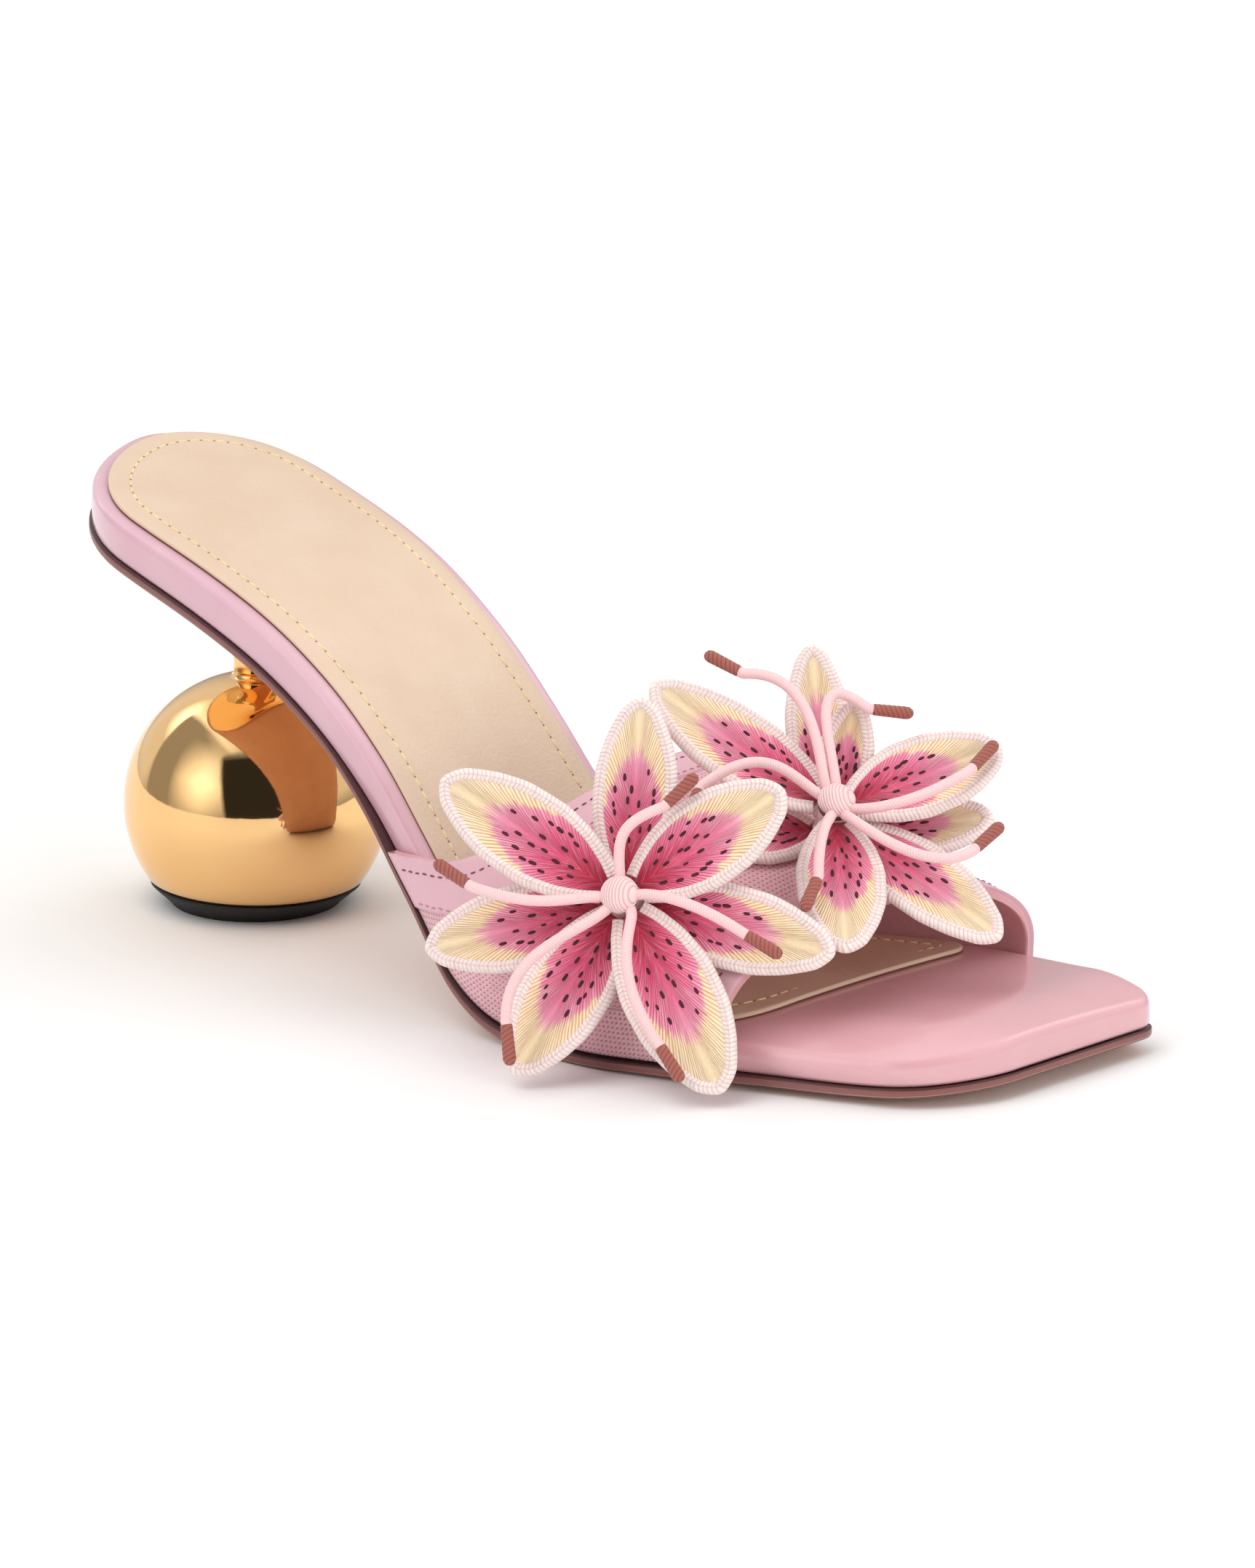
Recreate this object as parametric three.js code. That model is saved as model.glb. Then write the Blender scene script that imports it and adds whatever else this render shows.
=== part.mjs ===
// Heeled mule for the right foot: a square toed sole on a ball heel, with one wide vamp that
// carries two lilies.
// Millimetres. X runs from heel to toe, Y from the outer side of the foot to the inner side, Z up.
// The origin is the centre of the face that the heel's tip stands on.
import * as THREE from "three";

// Sole sizes
const soleLength = 226.8;
const heelSetback = 33.1; // the back of the heel lies this far behind the ball's axis
const forefootWidth = 69.4;
const heelHeight = 79.3; // underside of the outsole at the back of the heel
const toeSpring = 3.4;
const lean = THREE.MathUtils.degToRad(1.32); // the shoe leans forward on the heel's tip by this
const soleTwist = THREE.MathUtils.degToRad(3.7); // the shank runs this far off the toe's axis
const heelRoundLength = 27;
const heelRoundPower = 2.2;
const heelAxisSide = 2.1; // middle of the heel's back, towards the inner side
const toeLead = 3; // the big toe's corner reaches this much further
const outerToeRadius = 15;
const innerToeRadius = 5;
const outsoleThickness = 2.1;
const outsoleBevel = 1;
const weltWidth = 2.3; // the outsole reaches out under the foot of the vamp by this
const platformAtHeel = 6.9;
const platformAtToe = 8.8;
const platformInset = 0.6; // the outsole stands proud of the platform by this
const platformEdgeRadius = 1.5;
const platformCrown = 0.8;
const toeFall = 3.8; // the platform's top falls by this to its outer side and its front at the toe
const toeFallReach = 16; // and begins to fall this far from the edge
const sockInset = 3.7;
const sockThickness = 0.8;
const sockBevel = 0.4; // width of the bevel round its top, and share of its thickness
const sockReach = 189; // front of the sock, from the back of the heel
const sockLead = 3.5;
const sockOuterRadius = 16;
const sockInnerRadius = 10;
const clearance = 0.3;

// Vamp sizes
const vampHeight = 49; // top of the throat above the ground
const ridgeSide = 4; // the ridge of the vamp lies this far towards the inner side
const wallThickness = 1.6;
const bandRaise = 0.5; // the leather bands stand this far off the cloth
const rearBandWidth = 8.2;
const frontBandWidth = 7.6;
const shoulderRise = 1;
const footGap = 0.6; // between the foot of the wall and the outsole
const shoulderShare = 0.86; // the wall passes the platform beyond this share of the half section

// Heel sizes
const ballRadius = 26;
const ballCentreHeight = 20;
const tipThickness = 4.8;
const tipRadius = 16.8;
const tipInset = 0.5; // the tip's widest ring lies this far inside the flat of the ball
const tipShoulder = 0.6; // height from that ring to the tip's top
const tipTopInset = 0.3;
const stemRadius = 4.6;
const collarHeight = 0.8;
const flareHeight = 12;
const seatThickness = 1.5;
const seatInset = 2.6;
const seatFront = 9; // the seat plate ends this far in front of the stem's axis

// Lily sizes
const petalLength = 38;
const petalWidth = 17.2;
const petalPlate = 1.2;
const petalCup = 0.5; // the sides of a petal stand this far above its middle
const rimRadius = 1.25;
const widestRim = 0.42; // the most of a petal's half width that a rim's radius takes
const tipRimRise = 0.6; // height of the rim at a petal's tip, as a share of rimRadius
const layerStep = 3.4;
const buttonRadius = 3.5;
const buttonFlare = 0.7; // height over which the button widens from its post
const postRadius = 3.2;
const rootRadius = postRadius + clearance; // the petals start this far from the lily's axis
const cordRadius = 1;
const cordRoot = 2.5; // the cords leave the button this far above the top layer of petals
const cordRise = 3;
const rootGap = 0.65; // between the button and the ends of the cords
const antherRadius = 1.25;
const antherLength = 8;

// Outline of the sole. along is a share of the sole's length from the back of the heel, outer and inner
// are shares of the forefoot's width, and welt is the share of weltWidth that the outsole adds to them.
// fall is the share of toeFall by which the platform's outer side is lower.
const OUTLINE = [
  { along: 0, outer: 0.392, inner: 0.42, welt: 0, fall: 0 },
  { along: 0.055, outer: 0.425, inner: 0.412, welt: 0, fall: 0 },
  { along: 0.144, outer: 0.457, inner: 0.396, welt: 0, fall: 0 },
  { along: 0.233, outer: 0.472, inner: 0.365, welt: 0, fall: 0 },
  { along: 0.344, outer: 0.48, inner: 0.301, welt: 0, fall: 0 },
  { along: 0.455, outer: 0.508, inner: 0.256, welt: 0.75, fall: 0 },
  { along: 0.566, outer: 0.56, inner: 0.311, welt: 1, fall: 0 },
  { along: 0.655, outer: 0.568, inner: 0.396, welt: 1, fall: 0 },
  { along: 0.744, outer: 0.528, inner: 0.473, welt: 0.9, fall: 0.5 },
  { along: 0.833, outer: 0.463, inner: 0.523, welt: 0.15, fall: 1 },
  { along: 0.922, outer: 0.37, inner: 0.528, welt: 0, fall: 1 },
  { along: 1, outer: 0.25, inner: 0.495, welt: 0, fall: 0.85 },
];

// Underside of the outsole along the shank. arch is a share of the heel's height, spring of the toe's.
const PROFILE = [
  { along: 0, arch: 1, spring: 0 },
  { along: 0.073, arch: 0.9358, spring: 0 },
  { along: 0.144, arch: 0.8732, spring: 0 },
  { along: 0.215, arch: 0.8066, spring: 0 },
  { along: 0.283, arch: 0.7249, spring: 0 },
  { along: 0.353, arch: 0.6044, spring: 0 },
  { along: 0.421, arch: 0.4424, spring: 0 },
  { along: 0.477, arch: 0.2659, spring: 0 },
  { along: 0.537, arch: 0.0872, spring: 0 },
  { along: 0.58, arch: 0.0231, spring: 0 },
  { along: 0.604, arch: 0.0066, spring: 0 },
  { along: 0.622, arch: 0, spring: 0 },
  { along: 0.678, arch: 0, spring: 0 },
  { along: 0.731, arch: 0, spring: 0.12 },
  { along: 0.788, arch: 0, spring: 0.26 },
  { along: 0.837, arch: 0, spring: 0.36 },
  { along: 0.9, arch: 0, spring: 0.42 },
  { along: 0.95, arch: 0, spring: 0.6 },
  { along: 1, arch: 0, spring: 1 },
];

// Sections of the vamp from its rear edge, edge 0, to its front edge, edge 1.
// The feet and the ridge are placed along the sole, and the leans are how far the wall travels forward
// while it passes the platform, all as shares of the sole's length. ridgeRise is a share of the vamp's
// height. The wall runs out, forward and up along powers of a quarter turn.
const VAMP = [
  {
    edge: 0, outerFoot: 0.443, outerLean: 0.031, innerFoot: 0.455, innerLean: 0.031,
    ridge: 0.598, ridgeRise: 1, out: 0.87, forward: 0.55, up: 1.4,
  },
  {
    edge: 0.3, outerFoot: 0.55, outerLean: 0.02, innerFoot: 0.573, innerLean: 0.016,
    ridge: 0.668, ridgeRise: 0.95, out: 0.87, forward: 0.75, up: 1.05,
  },
  {
    edge: 0.65, outerFoot: 0.672, outerLean: 0.004, innerFoot: 0.72, innerLean: 0.004,
    ridge: 0.75, ridgeRise: 0.83, out: 0.9, forward: 0.9, up: 0.95,
  },
  {
    edge: 1, outerFoot: 0.793, outerLean: 0, innerFoot: 0.857, innerLean: 0,
    ridge: 0.834, ridgeRise: 0.68, out: 0.95, forward: 0.95, up: 0.95,
  },
];

// The two lilies. along, side and height place the middle of the back layer, in shares of the sole's
// length, of the forefoot's width and of the vamp's height. facing and lift are the directions of the
// axis in degrees, round from the toe and up from the level. post is the length of the button's post
// below the back layer.
const LILIES = [
  { lily: "outer_lily", along: 0.6954, side: -0.5127, height: 0.688, facing: -62, lift: 26.2, post: 3.1 },
  { lily: "top_lily", along: 0.7723, side: 0.0133, height: 0.8724, facing: -45, lift: 53.4, post: 2.2 },
];

// Petals. turn is the direction in degrees round the lily, layer counts from the back, reach and width
// are shares of a petal's length and width, and rise lifts the tip by a share of the length.
const PETALS = [
  { lily: "outer_lily", petal: 1, turn: 152, layer: 2, reach: 1.05, width: 0.98, rise: 0.03 },
  { lily: "outer_lily", petal: 2, turn: 93, layer: 0, reach: 1, width: 0.9, rise: -0.03 },
  { lily: "outer_lily", petal: 3, turn: 38, layer: 2, reach: 0.92, width: 0.98, rise: 0.03 },
  { lily: "outer_lily", petal: 4, turn: -10, layer: 1, reach: 1.05, width: 0.9, rise: 0.05 },
  { lily: "outer_lily", petal: 5, turn: -57, layer: 2, reach: 1.06, width: 1.05, rise: 0 },
  { lily: "outer_lily", petal: 6, turn: -117, layer: 1, reach: 0.98, width: 0.95, rise: 0 },
  { lily: "outer_lily", petal: 7, turn: -163, layer: 0, reach: 1.01, width: 0.92, rise: -0.03 },
  { lily: "top_lily", petal: 1, turn: 142, layer: 2, reach: 1.08, width: 0.95, rise: 0.13 },
  { lily: "top_lily", petal: 2, turn: 92, layer: 0, reach: 1.02, width: 0.74, rise: 0.16 },
  { lily: "top_lily", petal: 3, turn: 77, layer: 1, reach: 0.6, width: 0.6, rise: 0.21 },
  { lily: "top_lily", petal: 4, turn: 22, layer: 2, reach: 0.89, width: 1, rise: 0.05 },
  { lily: "top_lily", petal: 5, turn: 1, layer: 0, reach: 0.78, width: 0.8, rise: 0.08 },
  { lily: "top_lily", petal: 6, turn: -42, layer: 1, reach: 1.01, width: 0.9, rise: -0.05 },
  { lily: "top_lily", petal: 7, turn: -91, layer: 2, reach: 0.84, width: 0.95, rise: 0 },
  { lily: "top_lily", petal: 8, turn: -178, layer: 0, reach: 0.68, width: 0.85, rise: 0.08 },
];

// Half width of a petal from its root, at 0, to its tip, at 1.
const PETAL_SHAPE = [
  { at: 0, width: 0.4 },
  { at: 0.1, width: 0.64 },
  { at: 0.25, width: 0.88 },
  { at: 0.42, width: 1 },
  { at: 0.58, width: 0.98 },
  { at: 0.73, width: 0.84 },
  { at: 0.86, width: 0.61 },
  { at: 0.95, width: 0.38 },
  { at: 1, width: 0.16 },
];

// Stamens. A cord leaves the button in direction turn and ends in direction end at a reach and a height.
// pull and lead are the lengths of the curve's handles, arrive is its direction at the end, and heading
// is the direction of the anther. Lengths are shares of a petal's length and angles are in degrees.
const STAMENS = [
  {
    lily: "outer_lily", stamen: 1, turn: 96, pull: 0.1605, end: 68, reach: 0.4605,
    height: 0.2895, arrive: 30, lead: 0.2158, heading: 49,
  },
  {
    lily: "outer_lily", stamen: 2, turn: -169, pull: 0.1526, end: -178, reach: 0.7079,
    height: 0.2895, arrive: 164, lead: 0.3526, heading: 151,
  },
  {
    lily: "outer_lily", stamen: 3, turn: 4, pull: 0.0658, end: -13, reach: 0.6289,
    height: 0.2895, arrive: -28, lead: 0.2711, heading: -26,
  },
  {
    lily: "outer_lily", stamen: 4, turn: -126, pull: 0.1684, end: -126, reach: 0.7974,
    height: 0.2895, arrive: -86, lead: 0.3316, heading: -78,
  },
  {
    lily: "outer_lily", stamen: 5, turn: -48, pull: 0.0684, end: -69, reach: 0.7421,
    height: 0.2895, arrive: -51, lead: 0.4553, heading: -52,
  },
  {
    lily: "top_lily", stamen: 1, turn: 118, pull: 0.0737, end: 121, reach: 0.7921,
    height: 0.3684, arrive: 174, lead: 0.3605, heading: 145,
  },
  {
    lily: "top_lily", stamen: 2, turn: 154, pull: 0.15, end: 177, reach: 0.6579,
    height: 0.3158, arrive: -143, lead: 0.3895, heading: -112,
  },
  {
    lily: "top_lily", stamen: 3, turn: 88, pull: 0.0711, end: 69, reach: 0.5132,
    height: 0.3421, arrive: -40, lead: 0.4211, heading: -8,
  },
  {
    lily: "top_lily", stamen: 4, turn: -33, pull: 0.1, end: 11, reach: 0.6605,
    height: 0.3158, arrive: 43, lead: 0.3526, heading: 50,
  },
  {
    lily: "top_lily", stamen: 5, turn: -68, pull: 0.0658, end: -28, reach: 0.7053,
    height: 0.2895, arrive: 43, lead: 0.3395, heading: 45,
  },
  {
    lily: "top_lily", stamen: 6, turn: -110, pull: 0.0789, end: -105, reach: 0.4921,
    height: 0.2895, arrive: -92, lead: 0.1974, heading: -113,
  },
];

// Outline of the button, from shares of its radius and heights above the cords' roots.
const BUTTON = [
  { radius: 1, height: -0.9 },
  { radius: 1, height: 0.5 },
  { radius: 0.8, height: 1.6 },
  { radius: 0.4, height: 2.3 },
  { radius: 0, height: 2.5 },
];

// How the heel's stem flares into its seat plate. blend runs from the plate's rim to the round stem and
// drop from the plate to the stem's top.
const FLARE = [
  { blend: 0.22, drop: 0.04 },
  { blend: 0.5, drop: 0.12 },
  { blend: 0.75, drop: 0.28 },
  { blend: 0.92, drop: 0.55 },
  { blend: 1, drop: 1 },
];

// Materials by slot
const FINISH = {
  outsole_leather: { color: 0x6e4141, roughness: 0.45, metalness: 0 },
  pink_leather: { color: 0xe3b0bf, roughness: 0.38, metalness: 0 },
  sock_leather: { color: 0xe9cfae, roughness: 0.5, metalness: 0 },
  gold_metal: { color: 0xd9a05a, roughness: 0.08, metalness: 1 },
  black_rubber: { color: 0x151313, roughness: 0.6, metalness: 0 },
  pink_cloth: { color: 0xe8bcc6, roughness: 0.8, metalness: 0 },
  petal_thread: { color: 0xd85f93, roughness: 0.7, metalness: 0 },
  pale_cord: { color: 0xf0d2d3, roughness: 0.75, metalness: 0 },
  anther_thread: { color: 0x93493f, roughness: 0.75, metalness: 0 },
};
const materials = Object.fromEntries(
  Object.entries(FINISH).map(([slot, look]) => {
    const material = new THREE.MeshStandardMaterial({ name: slot, ...look });
    return [slot, material];
  }),
);

// A smooth curve through one column of a table, which keeps level stretches level.
function curveThrough(rows, at, value) {
  const x = rows.map((row) => row[at]);
  const y = rows.map((row) => row[value]);
  const slope = x.slice(1).map((next, i) => (y[i + 1] - y[i]) / (next - x[i]));
  const tangent = x.map((_, i) => {
    if (i === 0) return slope[0];
    if (i === slope.length) return slope[i - 1];
    const before = slope[i - 1];
    const after = slope[i];
    return before * after <= 0 ? 0 : (2 * before * after) / (before + after);
  });
  return (t) => {
    const held = THREE.MathUtils.clamp(t, x[0], x[x.length - 1]);
    let i = 0;
    while (i < slope.length - 1 && held > x[i + 1]) i += 1;
    const span = x[i + 1] - x[i];
    const s = (held - x[i]) / span;
    const far = 3 * s * s - 2 * s * s * s;
    const startPull = s * (1 - s) * (1 - s) * span * tangent[i];
    const endPull = s * s * (s - 1) * span * tangent[i + 1];
    return (1 - far) * y[i] + far * y[i + 1] + startPull + endPull;
  };
}

const outerShare = curveThrough(OUTLINE, "along", "outer");
const innerShare = curveThrough(OUTLINE, "along", "inner");
const weltShare = curveThrough(OUTLINE, "along", "welt");
const archShare = curveThrough(PROFILE, "along", "arch");
const springShare = curveThrough(PROFILE, "along", "spring");
const fallShare = curveThrough(OUTLINE, "along", "fall");
const soleFront = soleLength - heelSetback;

// Underside of the outsole at a point of the plan.
function groundHeight(x, y) {
  const shank = x * Math.cos(soleTwist) - y * Math.sin(soleTwist);
  const along = (shank + heelSetback) / soleLength;
  return x * Math.tan(lean) + heelHeight * archShare(along) + toeSpring * springShare(along);
}

function platformThickness(x) {
  return THREE.MathUtils.lerp(platformAtHeel, platformAtToe, (x + heelSetback) / soleLength);
}

// Half width of the sole's outline, signed: -1 is the outer side and 1 the inner side.
function edgeSide(sign, x) {
  const along = (x + heelSetback) / soleLength;
  const width = forefootWidth * (sign < 0 ? outerShare(along) : innerShare(along));
  const behind = THREE.MathUtils.clamp((heelRoundLength - heelSetback - x) / heelRoundLength, 0, 1);
  const round = Math.sqrt(1 - behind ** heelRoundPower);
  return heelAxisSide + (sign * width - heelAxisSide) * round;
}

// Share of the platform's width at a point of the plan, from its outer side.
function shareAcross(x, y) {
  const outer = edgeSide(-1, x);
  return THREE.MathUtils.clamp((y - outer) / (edgeSide(1, x) - outer), 0, 1);
}

// Full height of the platform, a little more along its middle.
function platformFull(x, y) {
  const crown = platformCrown * Math.sin(Math.PI * shareAcross(x, y));
  return groundHeight(x, y) + outsoleThickness + platformThickness(x) + crown;
}

// Top of the platform, which falls softly to its outer side and its front at the toe.
function platformTop(x, y) {
  const front = soleFront - toeLead * (1 - shareAcross(x, y));
  const nearness = (distance) =>
    THREE.MathUtils.clamp(1 - (distance - platformInset) / toeFallReach, 0, 1);
  const side = fallShare((x + heelSetback) / soleLength) * nearness(y - edgeSide(-1, x)) ** 2;
  return platformFull(x, y) - toeFall * (side + nearness(front - x) ** 2);
}

const soleSteps = { heel: [0.012, 0.07, 0.2, 0.42, 0.7, 1], side: 30, corner: 4 };

// One long edge of a plan shape from heel to toe, rounded into the straight front.
function longEdge(sign, front, radius, welt = 0) {
  const back = -heelSetback;
  const start = front - radius;
  const edge = (x) => edgeSide(sign, x) + sign * welt * weltShare((x - back) / soleLength);
  const points = [];
  for (const share of soleSteps.heel) {
    const x = back + heelRoundLength * share;
    points.push(new THREE.Vector2(x, edge(x)));
  }
  for (let i = 1; i <= soleSteps.side; i += 1) {
    const x = back + heelRoundLength + ((start - back - heelRoundLength) * i) / soleSteps.side;
    points.push(new THREE.Vector2(x, edge(x)));
  }
  for (let i = 1; i <= soleSteps.corner; i += 1) {
    const turn = (Math.PI / 2) * (i / soleSteps.corner);
    const x = start + radius * Math.sin(turn);
    const cut = radius * (1 - Math.cos(turn));
    points.push(new THREE.Vector2(x, edge(x) - sign * cut));
  }
  return points;
}

const platformEdges = {
  outer: longEdge(-1, soleFront - toeLead, outerToeRadius),
  inner: longEdge(1, soleFront, innerToeRadius),
};
const outsoleEdges = {
  outer: longEdge(-1, soleFront - toeLead, outerToeRadius, weltWidth),
  inner: longEdge(1, soleFront, innerToeRadius, weltWidth),
};
const sockFront = sockReach - heelSetback;
const sockEdges = {
  outer: longEdge(-1, sockFront - sockLead, sockOuterRadius),
  inner: longEdge(1, sockFront, sockInnerRadius),
};

// Moves a closed plan loop inwards by a distance.
function insetLoop(loop, distance) {
  return loop.map((point, i) => {
    const before = loop[(i + loop.length - 1) % loop.length];
    const after = loop[(i + 1) % loop.length];
    const into = point.clone().sub(before).normalize();
    const out = after.clone().sub(point).normalize();
    const along = into.clone().add(out).normalize();
    const spread = Math.max(0.5, along.dot(out));
    const shift = distance / spread;
    return new THREE.Vector2(point.x - along.y * shift, point.y + along.x * shift);
  });
}

// Joins a list of points and triangles into a named mesh.
function makeMesh(name, slot, points, triangles) {
  const geometry = new THREE.BufferGeometry().setFromPoints(points);
  geometry.setIndex(triangles.flat());
  geometry.computeVertexNormals();
  const mesh = new THREE.Mesh(geometry, materials[slot]);
  mesh.name = name;
  return mesh;
}

// A layer of the sole. Each level is a ring of the plan with its inset and its height,
// and the first and last levels are closed by strips between shares of the sole's width.
function soleLayer(name, slot, edges, levels, shares) {
  const rows = edges.outer.length;
  const columns = shares.length - 1;
  const loop = [];
  for (let i = 0; i < rows; i += 1) loop.push({ row: i, column: 0 });
  for (let j = 1; j <= columns; j += 1) loop.push({ row: rows - 1, column: j });
  for (let i = rows - 2; i >= 0; i -= 1) loop.push({ row: i, column: columns });
  for (let j = columns - 1; j >= 1; j -= 1) loop.push({ row: 0, column: j });
  const across = (row, column) => edges.outer[row].clone().lerp(edges.inner[row], shares[column]);
  const plan = loop.map(({ row, column }) => across(row, column));
  const points = [];
  const triangles = [];
  const rings = levels.map((level) => {
    const first = points.length;
    for (const { x, y } of insetLoop(plan, level.inset)) {
      points.push(new THREE.Vector3(x, y, level.height(x, y)));
    }
    return first;
  });
  const count = loop.length;
  for (let k = 0; k + 1 < rings.length; k += 1) {
    for (let i = 0; i < count; i += 1) {
      const next = (i + 1) % count;
      const [a, b, c, d] = [rings[k] + i, rings[k] + next, rings[k + 1] + next, rings[k + 1] + i];
      triangles.push([a, b, c], [a, c, d]);
    }
  }
  const closeLevel = (first, level, up) => {
    const place = loop.map((_, i) => first + i);
    const at = new Map(loop.map(({ row, column }, i) => [row * (columns + 1) + column, place[i]]));
    for (let i = 1; i < rows - 1; i += 1) {
      const left = points[at.get(i * (columns + 1))];
      const right = points[at.get(i * (columns + 1) + columns)];
      for (let j = 1; j < columns; j += 1) {
        const p = left.clone().lerp(right, shares[j]);
        p.z = level.height(p.x, p.y);
        at.set(i * (columns + 1) + j, points.push(p) - 1);
      }
    }
    for (let i = 0; i + 1 < rows; i += 1) {
      for (let j = 0; j < columns; j += 1) {
        const corner = i * (columns + 1) + j;
        const beyond = corner + columns + 1;
        const [a, b, c, d] = [corner, beyond, beyond + 1, corner + 1].map((key) => at.get(key));
        triangles.push(...(up ? [[a, b, c], [a, c, d]] : [[a, c, b], [a, d, c]]));
      }
    }
  };
  closeLevel(rings[0], levels[0], false);
  closeLevel(rings[rings.length - 1], levels[levels.length - 1], true);
  return makeMesh(name, slot, points, triangles);
}

function outsole() {
  const top = outsoleThickness - clearance / 2;
  return soleLayer("outsole", "outsole_leather", outsoleEdges, [
    { inset: outsoleBevel, height: groundHeight },
    { inset: 0, height: (x, y) => groundHeight(x, y) + outsoleThickness / 2 },
    { inset: 0, height: (x, y) => groundHeight(x, y) + top },
  ], [0, 0.5, 1]);
}

function platform() {
  const rise = (drop) => (x, y) => platformTop(x, y) - drop;
  const half = platformEdgeRadius * (1 - Math.SQRT1_2);
  return soleLayer("platform", "pink_leather", platformEdges, [
    { inset: platformInset, height: (x, y) => groundHeight(x, y) + outsoleThickness + clearance / 2 },
    { inset: platformInset, height: rise(platformEdgeRadius) },
    { inset: platformInset + half, height: rise(half) },
    { inset: platformInset + platformEdgeRadius, height: rise(0) },
  ], [0, 0.07, 0.17, 0.32, 0.6, 0.85, 1]);
}

function sock() {
  const under = (x, y) => platformTop(x, y) + clearance;
  return soleLayer("insole_sock", "sock_leather", sockEdges, [
    { inset: sockInset, height: under },
    { inset: sockInset, height: (x, y) => under(x, y) + sockThickness * (1 - sockBevel) },
    { inset: sockInset + sockBevel, height: (x, y) => under(x, y) + sockThickness },
  ], [0, 0.12, 0.32, 0.65, 1]);
}

const vampColumns = Object.keys(VAMP[0]).filter((column) => column !== "edge");
const vampCurve = Object.fromEntries(
  vampColumns.map((column) => [column, curveThrough(VAMP, "edge", column)]),
);

// A point of the platform's side wall at x, moved out of it by a distance.
function besidePlatform(sign, x, distance) {
  const step = 1;
  const along = new THREE.Vector2(2 * step, edgeSide(sign, x + step) - edgeSide(sign, x - step)).normalize();
  const shift = distance - platformInset;
  return new THREE.Vector2(x - sign * along.y * shift, edgeSide(sign, x) + sign * along.x * shift);
}

// Inner face of the vamp. edge runs from the rear edge to the front edge, across from -1, the outer
// foot of the wall, over the ridge at 0 to 1, the inner foot.
function vampInside(edge, across) {
  const sign = across < 0 ? -1 : 1;
  const side = sign < 0 ? "outer" : "inner";
  const alongFoot = vampCurve[`${side}Foot`](edge);
  const foot = besidePlatform(sign, alongFoot * soleLength - heelSetback, clearance);
  const footHeight = groundHeight(foot.x, foot.y) + outsoleThickness + footGap;
  const footPoint = new THREE.Vector3(foot.x, foot.y, footHeight);
  const shoulderOf = (which, name) => {
    const alongShoulder = vampCurve[`${name}Foot`](edge) + vampCurve[`${name}Lean`](edge);
    const p = besidePlatform(which, alongShoulder * soleLength - heelSetback, clearance);
    return new THREE.Vector3(p.x, p.y, platformFull(p.x, p.y) + shoulderRise);
  };
  const shoulder = shoulderOf(sign, side);
  const share = Math.abs(across);
  if (share > shoulderShare) return shoulder.lerp(footPoint, (share - shoulderShare) / (1 - shoulderShare));
  const ridge = new THREE.Vector3(
    vampCurve.ridge(edge) * soleLength - heelSetback,
    ridgeSide,
    vampCurve.ridgeRise(edge) * vampHeight - wallThickness,
  );
  const outerShoulder = shoulderOf(-1, "outer");
  const innerShoulder = shoulderOf(1, "inner");
  const middle = outerShoulder.clone().lerp(
    innerShoulder,
    (ridge.y - outerShoulder.y) / (innerShoulder.y - outerShoulder.y),
  );
  const turn = (Math.PI / 2) * (1 - share / shoulderShare);
  const out = Math.max(0, Math.cos(turn)) ** vampCurve.out(edge);
  const forward = Math.sin(turn) ** vampCurve.forward(edge);
  const up = Math.sin(turn) ** vampCurve.up(edge);
  const rise = ridge.clone().sub(middle);
  return middle
    .clone()
    .add(shoulder.clone().sub(middle).multiplyScalar(out))
    .add(new THREE.Vector3(rise.x * forward, rise.y * up, rise.z * up));
}

// Point of the vamp at a depth outside its inner face.
function vampPoint(edge, across, depth) {
  const step = 0.01;
  const front = vampInside(Math.min(1, edge + step), across);
  const back = vampInside(Math.max(0, edge - step), across);
  const inner = vampInside(edge, Math.min(1, across + step));
  const outer = vampInside(edge, Math.max(-1, across - step));
  const normal = front.sub(back).cross(inner.sub(outer)).normalize();
  return vampInside(edge, across).addScaledVector(normal, depth);
}

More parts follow.
